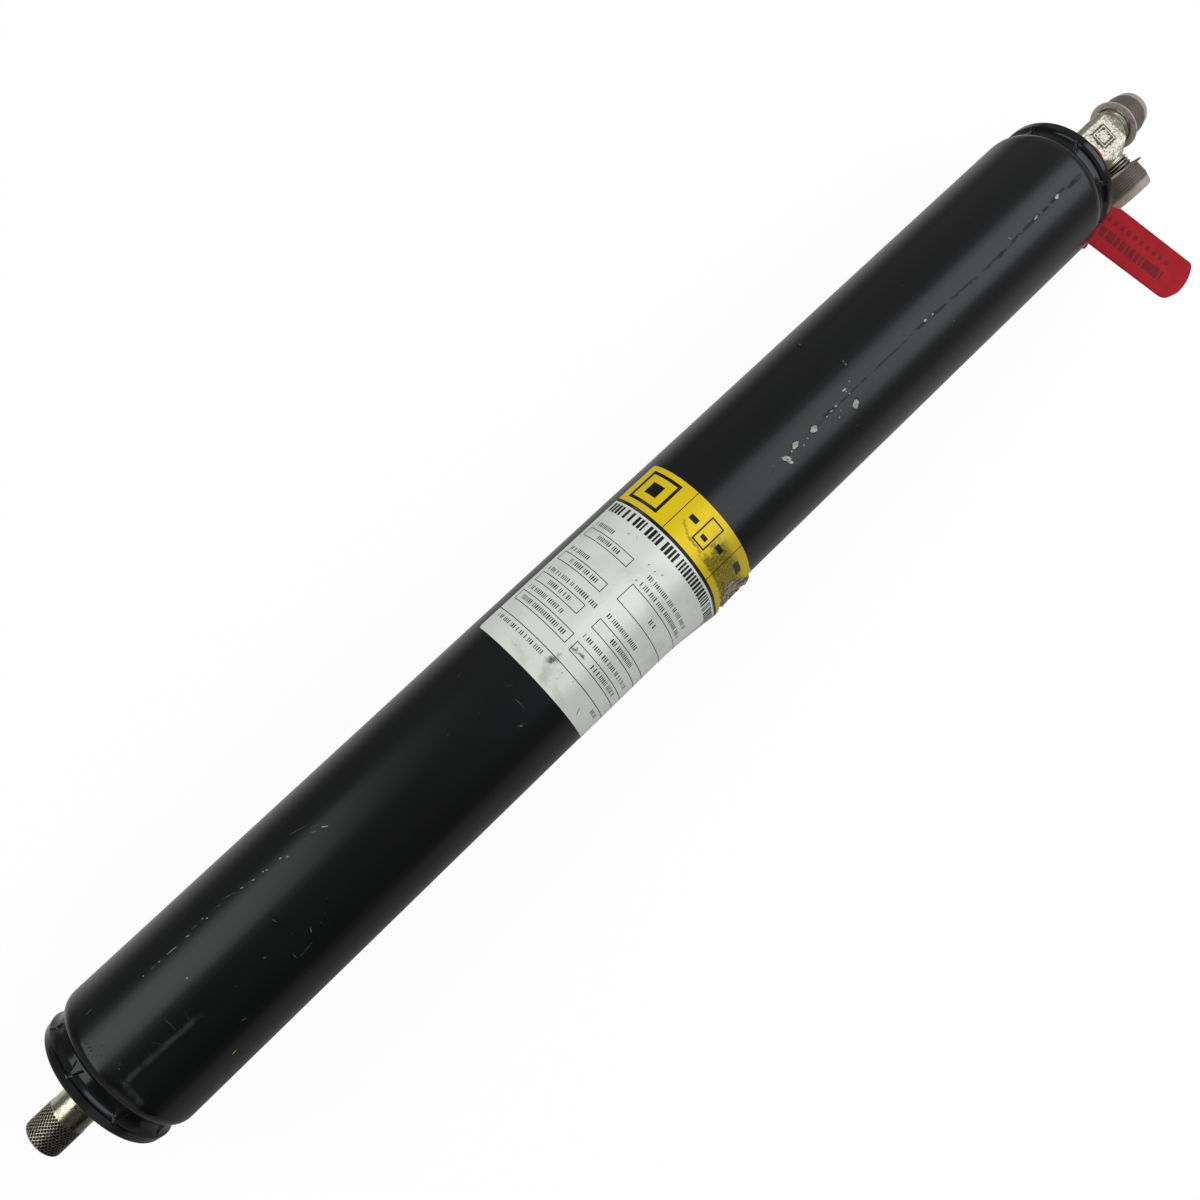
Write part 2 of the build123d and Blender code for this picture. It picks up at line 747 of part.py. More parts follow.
def push_cap(brim_tilt):
    """A moulded push-on cap: its brim is centred at 0 and its closed end points to +X."""
    body = push_cap_diameter / 2
    end = push_cap_end_diameter / 2
    wall = body - cap_bore_radius
    inner_end = push_cap_length - push_cap_wall_end
    lead = push_cap_diameter / 4
    brim_plane = Plane(
        origin=(0, 0, 0),
        x_dir=(0, math.sin(math.radians(brim_bend)), -math.cos(math.radians(brim_bend))),
        z_dir=(1, 0, 0),
    ).rotated((brim_tilt, 0, 0))
    with BuildPart() as cap:
        with BuildSketch(Plane.XY):
            with BuildLine():
                Polyline(
                    (-lead, cap_bore_radius),
                    (-lead, body),
                    (push_cap_shoulder, body),
                    (push_cap_length - push_brim_thickness, end + push_brim_thickness / 3),
                    (push_cap_length, end - push_brim_thickness / 3),
                    (push_cap_length, 0),
                    (inner_end, 0),
                    (inner_end, end - wall),
                    (push_cap_bore_depth, cap_bore_radius),
                    close=True,
                )
            make_face()
        revolve(axis=Axis.X)
        split(bisect_by=brim_plane, keep=Keep.TOP)
        with BuildSketch(brim_plane):
            Circle(push_brim_diameter / 2)
            Circle(cap_bore_radius + push_cap_grip_clearance, mode=Mode.SUBTRACT)
        extrude(amount=push_brim_thickness)
    return cap.part


with BuildPart() as run_port_cap:
    add(Location((tee_x + run_cap_brim_from_centre, 0, 0)) * push_cap(0))
run_port_cap.part.label = "run_port_cap"
export_step(run_port_cap.part, "parts/run_port_cap.step")

with BuildPart() as branch_port_cap:
    brim_place = Location((tee_x, -branch_cap_brim_from_centre, 0), (0, 0, -90))
    add(brim_place * push_cap(branch_brim_tilt))
branch_port_cap.part.label = "branch_port_cap"
export_step(branch_port_cap.part, "parts/branch_port_cap.step")


def wrapped_sheet(start, length, thickness, start_angle, sweep):
    """A sheet laid round the tube; angles are measured from the top towards -Y."""
    with BuildPart() as sheet:
        with BuildSketch(Plane.XY):
            middle_radius = tube_radius + label_glue_gap + thickness / 2
            with Locations((start + length / 2, middle_radius)):
                Rectangle(length, thickness)
        revolve(axis=Axis.X, revolution_arc=sweep)
    return sheet.part.rotate(Axis.X, 90 + start_angle)


# Rating label: a thin sheet that follows the tube, with its torn corner cut away
tear_start = label_start + label_length - label_tear_length
tear_start_angle = label_start_angle + label_sweep - label_tear_angle

with BuildPart() as rating_label:
    add(wrapped_sheet(label_start, label_length, label_thickness, label_start_angle, label_sweep))
    corner_edges = rating_label.edges().filter_by(GeomType.LINE).sort_by(SortBy.LENGTH)[:4]
    fillet(corner_edges, label_corner_radius)
    add(
        wrapped_sheet(
            tear_start,
            2 * label_tear_length,
            label_thickness,
            tear_start_angle,
            2 * label_tear_angle,
        ),
        mode=Mode.SUBTRACT,
    )
rating_label.part.label = "rating_label"
export_step(rating_label.part, "parts/rating_label.step")

# Red tag: strap loop standing on the tee's neck, strand down to the floor, lock head,
# free tail and flag
loop_y = -strap_loop_side
strand_y = loop_y - strap_mean_radius
strand_low = strap_loop_rise - strap_straight_drop
strap_floor = floor_z + strap_thickness / 2
head_x = strap_x + tag_head_past_strap
flag_base_x = strap_x + flag_base_past_strap
worn_side_length = flag_length - flag_end_bulge - flag_end_slant
good_side_length = flag_length - flag_end_bulge + flag_end_slant / 2

flag_plane = Plane(
    origin=(flag_base_x, -flag_base_side, floor_z),
    x_dir=(math.sin(math.radians(flag_lean)), -math.cos(math.radians(flag_lean)), 0),
    z_dir=(0, 0, 1),
)
tail_plane = Plane(
    origin=(strap_x - strap_width / 6, -flag_base_side, floor_z),
    x_dir=(math.sin(math.radians(tail_lean)), -math.cos(math.radians(tail_lean)), 0),
    z_dir=(0, 0, 1),
)

with BuildPart() as flag_tag:
    with BuildSketch(Plane.YZ.offset(strap_x - strap_width / 2)):
        with Locations((loop_y, strap_loop_rise)):
            Circle(strap_loop_diameter / 2)
            Circle(strap_loop_diameter / 2 - strap_thickness, mode=Mode.SUBTRACT)
        with BuildLine():
            FilletPolyline(
                (strand_y, strap_loop_rise),
                (strand_y, strand_low),
                (-strap_foot_side, strap_floor),
                (-strap_foot_side - strap_bend_radius, strap_floor),
                radius=strap_bend_radius,
            )
        trace(line_width=strap_thickness)
    extrude(amount=strap_width)
    with BuildSketch(Plane.XY.offset(floor_z)):
        with Locations((head_x, -strap_foot_side)):
            RectangleRounded(tag_head_width, tag_head_length, strap_thickness)
    extrude(amount=tag_head_height)
    with BuildSketch(flag_plane):
        with BuildLine():
            Polyline(
                (worn_side_length, -flag_width / 2),
                (0, -flag_width / 2),
                (0, flag_width / 2),
                (good_side_length, flag_width / 2),
            )
            ThreePointArc(
                (worn_side_length, -flag_width / 2),
                (flag_length, 0),
                (good_side_length, flag_width / 2),
            )
        make_face()
        fillet(vertices().group_by(Axis.X)[0], strap_thickness)
        fillet(vertices().group_by(Axis.X)[-1].sort_by(Axis.Y)[-1], flag_corner_radius)
        low_side = vertices().sort_by(Axis.Y)[:2]
        fillet(low_side.sort_by(Axis.X)[-1], flag_worn_corner_radius)
    extrude(amount=flag_thickness)
    with BuildSketch(tail_plane):
        with Locations((tail_length / 2, 0)):
            RectangleRounded(tail_length, tail_width, strap_thickness)
    extrude(amount=flag_thickness)
flag_tag.part.label = "flag_tag"
export_step(flag_tag.part, "parts/flag_tag.step")
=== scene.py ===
import logging
import math
import random
from dataclasses import dataclass
from enum import Enum
from typing import Callable, Iterable, Sequence

import bmesh
import bpy
import numpy as np
from bpy.types import ID, Material, Mesh, Node, NodeSocket, NodeTree, Object
from mathutils import Matrix, Vector, noise


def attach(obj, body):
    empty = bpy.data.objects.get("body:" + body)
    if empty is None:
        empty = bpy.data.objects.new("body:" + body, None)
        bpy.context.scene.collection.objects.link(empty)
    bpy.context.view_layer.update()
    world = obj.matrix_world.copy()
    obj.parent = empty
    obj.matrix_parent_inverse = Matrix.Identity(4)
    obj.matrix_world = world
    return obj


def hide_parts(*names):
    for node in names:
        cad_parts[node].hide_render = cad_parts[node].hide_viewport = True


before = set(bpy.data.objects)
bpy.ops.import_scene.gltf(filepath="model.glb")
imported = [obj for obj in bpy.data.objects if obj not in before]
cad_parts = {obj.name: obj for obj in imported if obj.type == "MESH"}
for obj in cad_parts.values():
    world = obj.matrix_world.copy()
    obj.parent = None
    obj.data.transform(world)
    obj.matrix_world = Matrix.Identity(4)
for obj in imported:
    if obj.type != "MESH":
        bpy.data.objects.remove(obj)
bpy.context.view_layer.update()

MM = 0.001
log = logging.getLogger("accumulator")
Colour = tuple[float, float, float]
Place = tuple[float, float, float]
Reach = tuple[float, float, float, float]
Span = tuple[float, float]


def srgb(red: int, green: int, blue: int) -> Colour:
    """Turns a colour as it is seen, its parts from 0 to 255, into what the shaders take."""
    parts = (red / 255, green / 255, blue / 255)
    return tuple(p / 12.92 if p <= 0.04045 else ((p + 0.055) / 1.055) ** 2.4 for p in parts)


def smooth_step(low: float, high: float, value: np.ndarray) -> np.ndarray:
    """Rises smoothly from 0 at low to 1 at high, for each value."""
    share = np.clip((np.asarray(value, float) - low) / (high - low), 0.0, 1.0)
    return share * share * (3.0 - 2.0 * share)


def round_tube(along: np.ndarray, around: np.ndarray, radius: np.ndarray) -> np.ndarray:
    """Places points about the tube's axis.

    Args:
        along: Distances along +X in millimetres.
        around: Angles from the top towards -Y in degrees.
        radius: Distances from the axis in millimetres.

    Returns:
        The points in metres, with the three coordinates last.
    """
    angle = np.radians(around)
    along, angle, radius = np.broadcast_arrays(along, angle, radius)
    return np.stack((along, -np.sin(angle) * radius, np.cos(angle) * radius), axis=-1) * MM


def linked(name: str, data: ID) -> Object:
    """Makes an object and links it to the scene.

    Args:
        name: Name of the object.
        data: Its mesh, camera or light.

    Returns:
        The object.
    """
    made = bpy.data.objects.new(name, data)
    bpy.context.scene.collection.objects.link(made)
    return made


class Facing(Enum):
    """Which way the faces of a new piece are turned."""

    AS_GIVEN = 0
    OUT_OF_SHELL = 1
    OFF_TUBE = 2


class Mesher:
    """Turns arrays of points into finished pieces of the object."""

    merge = 1e-7

    @staticmethod
    def piece(name: str, points: np.ndarray, faces: Sequence[Sequence[int]],
              materials: Sequence[Material], slots: Sequence[int] | None = None,
              sharp_degrees: float = 35.0, facing: Facing = Facing.OUT_OF_SHELL) -> Object:
        """Makes one object from points and faces.

        Args:
            name: Name of the piece.
            points: Points in metres, one row each.
            faces: Corner numbers of each face.
            materials: Materials in slot order.
            slots: Material slot of each face, or None where all take the first.
            sharp_degrees: Angle between faces above which their edge stays sharp.
            facing: Which way the faces are turned.

        Returns:
            The new object, linked to the scene.
        """
        mesh = bpy.data.meshes.new(name)
        mesh.from_pydata([tuple(p) for p in points.reshape(-1, 3)], [], [list(f) for f in faces])
        for material in materials:
            mesh.materials.append(material)
        if slots is not None:
            mesh.polygons.foreach_set("material_index", np.asarray(slots, np.int32))
        if facing is Facing.OUT_OF_SHELL:
            Mesher.face_outward(mesh)
        Mesher.shade(mesh, sharp_degrees)
        if facing is Facing.OFF_TUBE:
            Mesher.face_outward(mesh, from_axis=True)
        return linked(name, mesh)

    @staticmethod
    def face_outward(mesh: Mesh, from_axis: bool = False) -> None:
        """Closes a mesh's poles and turns its faces outwards.

        Args:
            mesh: The mesh.
            from_axis: Whether outwards is away from the tube's axis, as on an open piece.
        """
        work = bmesh.new()
        work.from_mesh(mesh)
        bmesh.ops.remove_doubles(work, verts=work.verts, dist=Mesher.merge)
        if from_axis:
            for face in work.faces:
                centre = face.calc_center_median()
                if face.normal.dot(Vector((0, centre.y, centre.z))) < 0:
                    face.normal_flip()
        else:
            bmesh.ops.recalc_face_normals(work, faces=work.faces)
        work.to_mesh(mesh)
        work.free()

    @staticmethod
    def from_work(name: str, work: bmesh.types.BMesh, material: Material) -> Object:
        """Makes an object of a work mesh.

        Args:
            name: Name of the object.
            work: The work mesh, which is freed.
            material: Its finish.

        Returns:
            The new object.
        """
        mesh = bpy.data.meshes.new(name)
        work.to_mesh(mesh)
        work.free()
        mesh.materials.append(material)
        return linked(name, mesh)

    @staticmethod
    def settle(made: Object) -> Mesh:
        """Turns what an object's modifiers make into its plain mesh.

        Args:
            made: The object.

        Returns:
            The new mesh.
        """
        shaped = made.evaluated_get(bpy.context.evaluated_depsgraph_get())
        mesh = bpy.data.meshes.new_from_object(shaped)
        made.modifiers.clear()
        made.data = mesh
        return mesh

    @staticmethod
    def joined(name: str, parts: Sequence[Object]) -> Object:
        """Joins objects into one.

        Args:
            name: Name of the joined object.
            parts: Objects to join.

        Returns:
            The joined object.
        """
        with bpy.context.temp_override(active_object=parts[0], selected_editable_objects=list(parts)):
            bpy.ops.object.join()
        parts[0].name = name
        parts[0].data.name = name
        return parts[0]

    @staticmethod
    def shade(mesh: Mesh, sharp_degrees: float) -> None:
        """Shades a mesh smooth, apart from its sharp edges."""
        mesh.shade_smooth()
        mesh.set_sharp_from_angle(angle=math.radians(sharp_degrees))

    @staticmethod
    def vectors(mesh: Mesh, name: str) -> np.ndarray:
        """Reads a vector of every vertex.

        Args:
            mesh: The mesh.
            name: "co" for the places or "normal" for the normals.

        Returns:
            One row for each vertex.
        """
        found = np.zeros(len(mesh.vertices) * 3)
        mesh.vertices.foreach_get(name, found)
        return found.reshape(-1, 3)

    @staticmethod
    def keep_numbers(mesh: Mesh, name: str, numbers: Sequence[float]) -> None:
        """Stores a number for each vertex as a named attribute."""
        kept = mesh.attributes.new(name, "FLOAT", "POINT")
        kept.data.foreach_set("value", numbers)

    @staticmethod
    def grid_faces(rows: int, columns: int, loop_rows: bool, loop_columns: bool) -> list[tuple]:
        """Lists the four-sided faces of a grid of points.

        Args:
            rows: Number of rows.
            columns: Number of points in a row.
            loop_rows: Whether the last row joins the first.
            loop_columns: Whether the last column joins the first.

        Returns:
            The corner numbers of each face.
        """
        faces = []
        for row in range(rows if loop_rows else rows - 1):
            below = (row + 1) % rows
            for column in range(columns if loop_columns else columns - 1):
                beside = (column + 1) % columns
                faces.append((row * columns + column, row * columns + beside,
                              below * columns + beside, below * columns + column))
        return faces

    @staticmethod
    def turned(name: str, profile: Sequence[Span], columns: int, material: Material,
               bend: Callable[[np.ndarray], np.ndarray] | None = None) -> Object:
        """Turns a closed outline about +X.

        Args:
            name: Name of the piece.
            profile: Closed outline as distance along +X and distance from the axis, in millimetres.
            columns: Number of points round the axis.
            material: Its finish.
            bend: Moves the points, given as rows by columns in metres.

        Returns:
            The new object.
        """
        outline = np.array(profile, float)
        angles = np.linspace(0.0, 360.0, columns, endpoint=False)
        points = round_tube(outline[:, :1], angles[None, :], outline[:, 1:])
        if bend is not None:
            points = bend(points)
        hollow = outline[0, 1] > 0 or outline[-1, 1] > 0
        return Mesher.piece(name, points, Mesher.grid_faces(len(outline), columns, hollow, True), [material])

    @staticmethod
    def rounded(profile: Sequence[Place], steps: int = 4) -> list[tuple]:
        """Rounds the corners of a closed outline.

        Args:
            profile: Corners as two coordinates and the radius of their rounding.
            steps: Number of stretches in each rounded corner.

        Returns:
            The outline's points.
        """
        out = []
        for number, (x, y, radius) in enumerate(profile):
            corner = np.array((x, y))
            before = np.array(profile[number - 1][:2]) - corner
            after = np.array(profile[(number + 1) % len(profile)][:2]) - corner
            if radius <= 0:
                out.append((x, y))
                continue
            before_length = np.linalg.norm(before)
            after_length = np.linalg.norm(after)
            before, after = before / before_length, after / after_length
            half_turn = math.acos(np.clip(before @ after, -1, 1)) / 2
            reach = min(radius / math.tan(half_turn), 0.45 * before_length, 0.45 * after_length)
            start, end = corner + before * reach, corner + after * reach
            for step in range(steps + 1):
                t = step / steps
                out.append(tuple((1 - t) ** 2 * start + 2 * t * (1 - t) * corner + t * t * end))
        return out

    @staticmethod
    def oblong(x0: float, x1: float, y0: float, y1: float, near: float, far: float, steps: int = 4) -> list[tuple]:
        """Draws an oblong with corners rounded by near at x0 and by far at x1."""
        return Mesher.rounded(((x0, y0, near), (x1, y0, far), (x1, y1, far), (x0, y1, near)), steps)


class Signal:
    """A node's output, with which sums are written as with a number."""

    def __init__(self, sheet: "NodeSheet", socket: NodeSocket) -> None:
        """Wraps the output."""
        self.sheet = sheet
        self.socket = socket

    def __add__(self, other: "Value") -> "Signal":
        """Adds a value."""
        return self.sheet.maths("ADD", self, other)

    def __sub__(self, other: "Value") -> "Signal":
        """Takes a value away."""
        return self.sheet.maths("SUBTRACT", self, other)

    def __rsub__(self, other: float) -> "Signal":
        """Is taken away from a number."""
        return self.sheet.maths("SUBTRACT", other, self)

    def __mul__(self, other: "Value") -> "Signal":
        """Multiplies by a value."""
        return self.sheet.maths("MULTIPLY", self, other)

    def __truediv__(self, other: "Value") -> "Signal":
        """Divides by a value."""
        return self.sheet.maths("DIVIDE", self, other)

    def __abs__(self) -> "Signal":
        """Drops the sign."""
        return self.sheet.maths("ABSOLUTE", self)

    def scaled(self, factor: "Value", plus: "Value", clamp: bool = False) -> "Signal":
        """Multiplies by a factor and adds a value; clamp keeps the result from 0 to 1."""
        return self.sheet.maths("MULTIPLY_ADD", self, factor, plus, clamp)

    def step(self, low: float, high: float) -> "Signal":
        """Rises smoothly from 0 to 1 between two values.

        Args:
            low: Where the rise starts; above high for a fall.
            high: Where the rise ends.

        Returns:
            The share.
        """
        limits = (low, high, 0.0, 1.0) if low < high else (high, low, 1.0, 0.0)
        feeds = dict(zip(("Value", "From Min", "From Max", "To Min", "To Max"), (self, *limits)))
        made = self.sheet.node("ShaderNodeMapRange", feeds, interpolation_type="SMOOTHSTEP")
        return Signal(self.sheet, made.outputs["Result"])


Value = float | Sequence[float] | Signal | NodeSocket


class NodeSheet:
    """Adds nodes to a material, a world or a geometry tree and wires them."""

    def __init__(self, tree: NodeTree) -> None:
        """Starts on an empty tree."""
        self.tree = tree
        self.tree.nodes.clear()

    def node(self, kind: str, feeds: dict | None = None, **settings: object) -> Node:
        """Adds a node.

        Args:
            kind: Blender's name for the node's type.
            feeds: What its inputs get, by name or number.
            settings: Properties that are set on it first.

        Returns:
            The node.
        """
        made = self.tree.nodes.new(kind)
        for key, value in settings.items():
            setattr(made, key, value)
        for key, value in (feeds or {}).items():
            self.feed(made.inputs[key], value)
        return made

    def feed(self, socket: NodeSocket, value: Value) -> None:
        """Links a socket to a node's output, or sets its value.

        Args:
            socket: The socket.
            value: The output or the value.
        """
        if isinstance(value, Signal):
            value = value.socket
        if isinstance(value, NodeSocket):
            self.tree.links.new(value, socket)
        elif isinstance(value, (tuple, list)) and socket.type == "RGBA":
            socket.default_value = (*value, 1.0)
        else:
            socket.default_value = value

    def maths(self, operation: str, first: Value, second: Value = 0.0, third: Value = 0.0,
              clamp: bool = False) -> Signal:
        """Adds a sum of up to three values; clamp keeps the result from 0 to 1."""
        feeds = {0: first, 1: second, 2: third}
        return Signal(self, self.node("ShaderNodeMath", feeds, operation=operation, use_clamp=clamp).outputs[0])

    def split(self, vector: NodeSocket) -> tuple[Signal, ...]:
        """Splits a vector into its three parts."""
        made = self.node("ShaderNodeSeparateXYZ", {0: vector})
        return tuple(Signal(self, output) for output in made.outputs)

    def rays(self) -> dict[str, Signal]:
        """Tells what kind of ray sees a point, by the kind's name."""
        made = self.node("ShaderNodeLightPath")
        return {output.name: Signal(self, output) for output in made.outputs}


class ShaderSheet(NodeSheet):
    """Node sheet of one material, with its shader and the noises that it uses."""

    def __init__(self, name: str) -> None:
        """Makes the material with its shader and output.

        Args:
            name: Name of the material.
        """
        self.material = bpy.data.materials.new(name)
        self.material.use_nodes = True
        super().__init__(self.material.node_tree)
        self.output = self.node("ShaderNodeOutputMaterial").inputs["Surface"]
        self.shader = self.node("ShaderNodeBsdfPrincipled")
        self.feed(self.output, self.shader.outputs["BSDF"])
        self.place = self.node("ShaderNodeTexCoord").outputs["Object"]

    def set(self, **values: Value) -> None:
        """Sets or links the shader's own sockets; an underscore stands for a space."""
        for key, value in values.items():
            self.feed(self.shader.inputs[key.replace("_", " ")], value)

    def attribute(self, name: str) -> Signal:
        """Reads a number that the mesh keeps."""
        return Signal(self, self.node("ShaderNodeAttribute", attribute_name=name).outputs["Fac"])

    def pattern(self, kind: str, size_mm: float, stretch: Sequence[float], shift: Sequence[float]) -> Node:
        """Adds a pattern that fills space.

        Args:
            kind: Blender's name for the pattern's node.
            size_mm: Size of its features in millimetres.
            stretch: Factor on that size along each axis.
            shift: How far it is moved.

        Returns:
            The pattern's node.
        """
        scale = tuple(1 / (size_mm * MM * s) for s in stretch)
        scaled = self.node("ShaderNodeMapping", {"Vector": self.place, "Location": shift, "Scale": scale})
        return self.node(kind, {"Scale": 1.0, "Vector": scaled.outputs["Vector"]})

    def noise(self, size_mm: float, detail: float = 3.0, stretch: Sequence[float] = (1, 1, 1),
              roughness: float = 0.55, shift: float = 0.0) -> Signal:
        """Adds a cloudy noise.

        Args:
            size_mm: Size of its largest features in millimetres.
            detail: Number of finer layers.
            stretch: Factor on the feature size along each axis.
            roughness: Strength of the finer layers.
            shift: Moves the noise, so that two noises of one size differ.

        Returns:
            The noise, about 0.5 on average.
        """
        made = self.pattern("ShaderNodeTexNoise", size_mm, stretch, (shift, shift / 2, -shift))
        made.inputs["Detail"].default_value = detail
        made.inputs["Roughness"].default_value = roughness
        return Signal(self, made.outputs["Fac"])

    def specks(self, spacing_mm: float, size: float, shift: float = 0.0) -> Signal:
        """Adds scattered round specks, their radius a share of their spacing."""
        made = self.pattern("ShaderNodeTexVoronoi", spacing_mm, (1, 1, 1), (shift, shift, shift))
        return Signal(self, made.outputs["Distance"]).step(size, size * 0.55)

    def mix(self, factor: Value, first: Value, second: Value) -> Signal:
        """Mixes two colours by the share of the second."""
        made = self.node("ShaderNodeMix", {0: factor, 6: first, 7: second}, data_type="RGBA")
        return Signal(self, made.outputs[2])

    def bump(self, height: Value, depth_mm: float, strength: float = 1.0, under: Signal | None = None) -> Signal:
        """Adds a bump.

        Args:
            height: Height from 0 to 1.
            depth_mm: Depth in millimetres that a height of 1 stands for.
            strength: Strength of the bump.
            under: Normal that this bump is added to.

        Returns:
            The bumped normal.
        """
        feeds = {"Strength": strength, "Distance": depth_mm * MM, "Height": height}
        if under is not None:
            feeds["Normal"] = under
        return Signal(self, self.node("ShaderNodeBump", feeds).outputs["Normal"])

    def tube_place(self) -> tuple[Signal, Signal]:
        """Gives the distance along +X in millimetres and the angle from the top in degrees."""
        x, y, z = self.split(self.place)
        return x * (1 / MM), self.maths("ARCTAN2", y * -1.0, z) * (180 / math.pi)

    def any_of(self, masks: Iterable[Signal]) -> Signal:
        """Joins masks into one that holds the largest of them.

        Args:
            masks: The masks.

        Returns:
            The joined mask.
        """
        joined = None
        for mask in masks:
            joined = mask if joined is None else self.maths("MAXIMUM", joined, mask)
        return joined


@dataclass(frozen=True)
class Streak:
    """A scratch or rub on the tube between two places, as distance along and angle round."""

    along_from: float
    around_from: float
    along_to: float
    around_to: float
    width: float
    strength: float = 1.0

    def mask(self, sheet: "TubeSheet", wobble: Value) -> Signal:
        """Draws the streak.

        Args:
            sheet: Sheet of the material that it is on.
            wobble: Noise that frays the streak, in millimetres.

        Returns:
            The streak's strength from 0 to 1.
        """
        mm_per_degree = math.pi * ShellTube.radius / 180
        step_x = self.along_to - self.along_from
        step_y = (self.around_to - self.around_from) * mm_per_degree
        length = math.hypot(step_x, step_y)
        unit_x, unit_y = step_x / length, step_y / length
        from_x = sheet.along - self.along_from
        from_y = (sheet.around - self.around_from) * mm_per_degree
        run = from_y.scaled(unit_y, from_x * unit_x)
        off = abs(from_y.scaled(unit_x, from_x * -unit_y) + wobble)
        across = off.step(self.width, self.width * 0.2)
        inside = abs(run - length / 2).step(length / 2 + self.width, length / 2 - self.width)
        return across * inside * self.strength


class TubeSheet(ShaderSheet):
    """Node sheet of a finish that changes with the place on the tube.

    Attributes:
        along: Distance along +X in millimetres.
        around: Angle from the top towards -Y in degrees.
    """

    def __init__(self, name: str) -> None:
        """Makes the material and works out the place on the tube."""
        super().__init__(name)
        self.along, self.around = self.tube_place()

    def streaks(self, streaks: Sequence[Streak], wobble: Value) -> Signal:
        """Draws streaks, frayed by a noise in millimetres."""
        return self.any_of(streak.mask(self, wobble) for streak in streaks)


@dataclass(frozen=True)
class BlackPaint:
    """Smooth black paint of the shell, half gloss, rubbed and scraped in places."""

    colour: Colour = srgb(5, 6, 7)
    cloud: Colour = srgb(8, 9, 11)
    rubbed: Colour = srgb(50, 53, 52)
    roughness: float = 0.29
    shoulders: Span = (262.0, 267.0)
    rubs: tuple[Streak, ...] = tuple(Streak(*row) for row in (
        (-262, 9.0, -230, 10.8, 1.5, 0.75), (-262, 7.6, -264, 27, 1.7, 0.7), (-239.2, -2, -239.1, 7, 0.32, 0.9),
        (-247, 3, -245, 11, 0.3, 0.5), (-233, 2, -234, 9, 0.35, 0.5), (-250, 6, -251, 12, 0.3, 0.5),
        (-75.9, 3, -75.7, 12.5, 0.3, 0.6), (-83, 18, -79, 21, 0.8, 0.5), (-75, -8, -73, -5, 0.6, 0.4),
    ))
    scrapes: tuple[Streak, ...] = tuple(Streak(*row) for row in (
        (203, 12.4, 246, 9.4, 1.3, 1.0), (246, 9.4, 262, 10.5, 1.7, 1.0), (214.6, 6, 216, 13, 0.4, 1.0),
        (152, 9.4, 203, 12.4, 1.0, 0.9), (103, 9.4, 152, 9.9, 0.5, 0.8), (66, 11.0, 103, 9.4, 0.7, 0.4),
    ))

    def build(self) -> Material:
        """Makes the material.

        Returns:
            The material.
        """
        sheet = TubeSheet("black_paint")
        fray = (sheet.noise(5.0, 4.0) - 0.5) * 1.6
        rub = sheet.streaks(self.rubs, fray) * sheet.noise(5.0, 5.0, shift=3.1).step(0.25, 0.6)
        broken = sheet.noise(2.4, 5.0, (1.8, 1, 1), shift=8.0).step(0.4, 0.55)
        scrape = sheet.streaks(self.scrapes, fray) * broken
        cloud = sheet.noise(45.0, 5.0, (2.5, 1, 1), shift=5.0).step(0.3, 0.8)
        colour = sheet.mix(rub, sheet.mix(cloud, self.colour, self.cloud), self.rubbed)
        smear = sheet.noise(18.0, 5.0, (3.0, 1, 1), shift=1.0)
        rough = smear.scaled(0.08, self.roughness - 0.04)
        rough = abs(sheet.along).step(*self.shoulders).scaled(-0.13, rough)
        rough = scrape.scaled(0.35, rough)
        normal = sheet.bump(sheet.noise(2.6, 2.0, shift=2.0), 0.004, 0.5)
        normal = sheet.bump(1.0 - scrape, 0.08, 0.8, normal)
        sheet.set(Base_Color=colour, Roughness=rough, Normal=normal)
        return sheet.material


class Ink(Enum):
    """Colours of the films and of what is printed on them."""

    # White and yellow are as bright as the painted highlight along the film's top; the film's painted light band
    # shades them elsewhere.
    WHITE = ("label_white", srgb(225, 231, 222), 0.34)
    YELLOW = ("label_yellow", srgb(233, 203, 0), 0.34)
    BLACK = ("label_black", srgb(20, 21, 22), 0.36)
    GREY = ("label_grey", srgb(36, 37, 38), 0.4)
    RESIDUE = ("label_residue", srgb(146, 138, 122), 0.85)


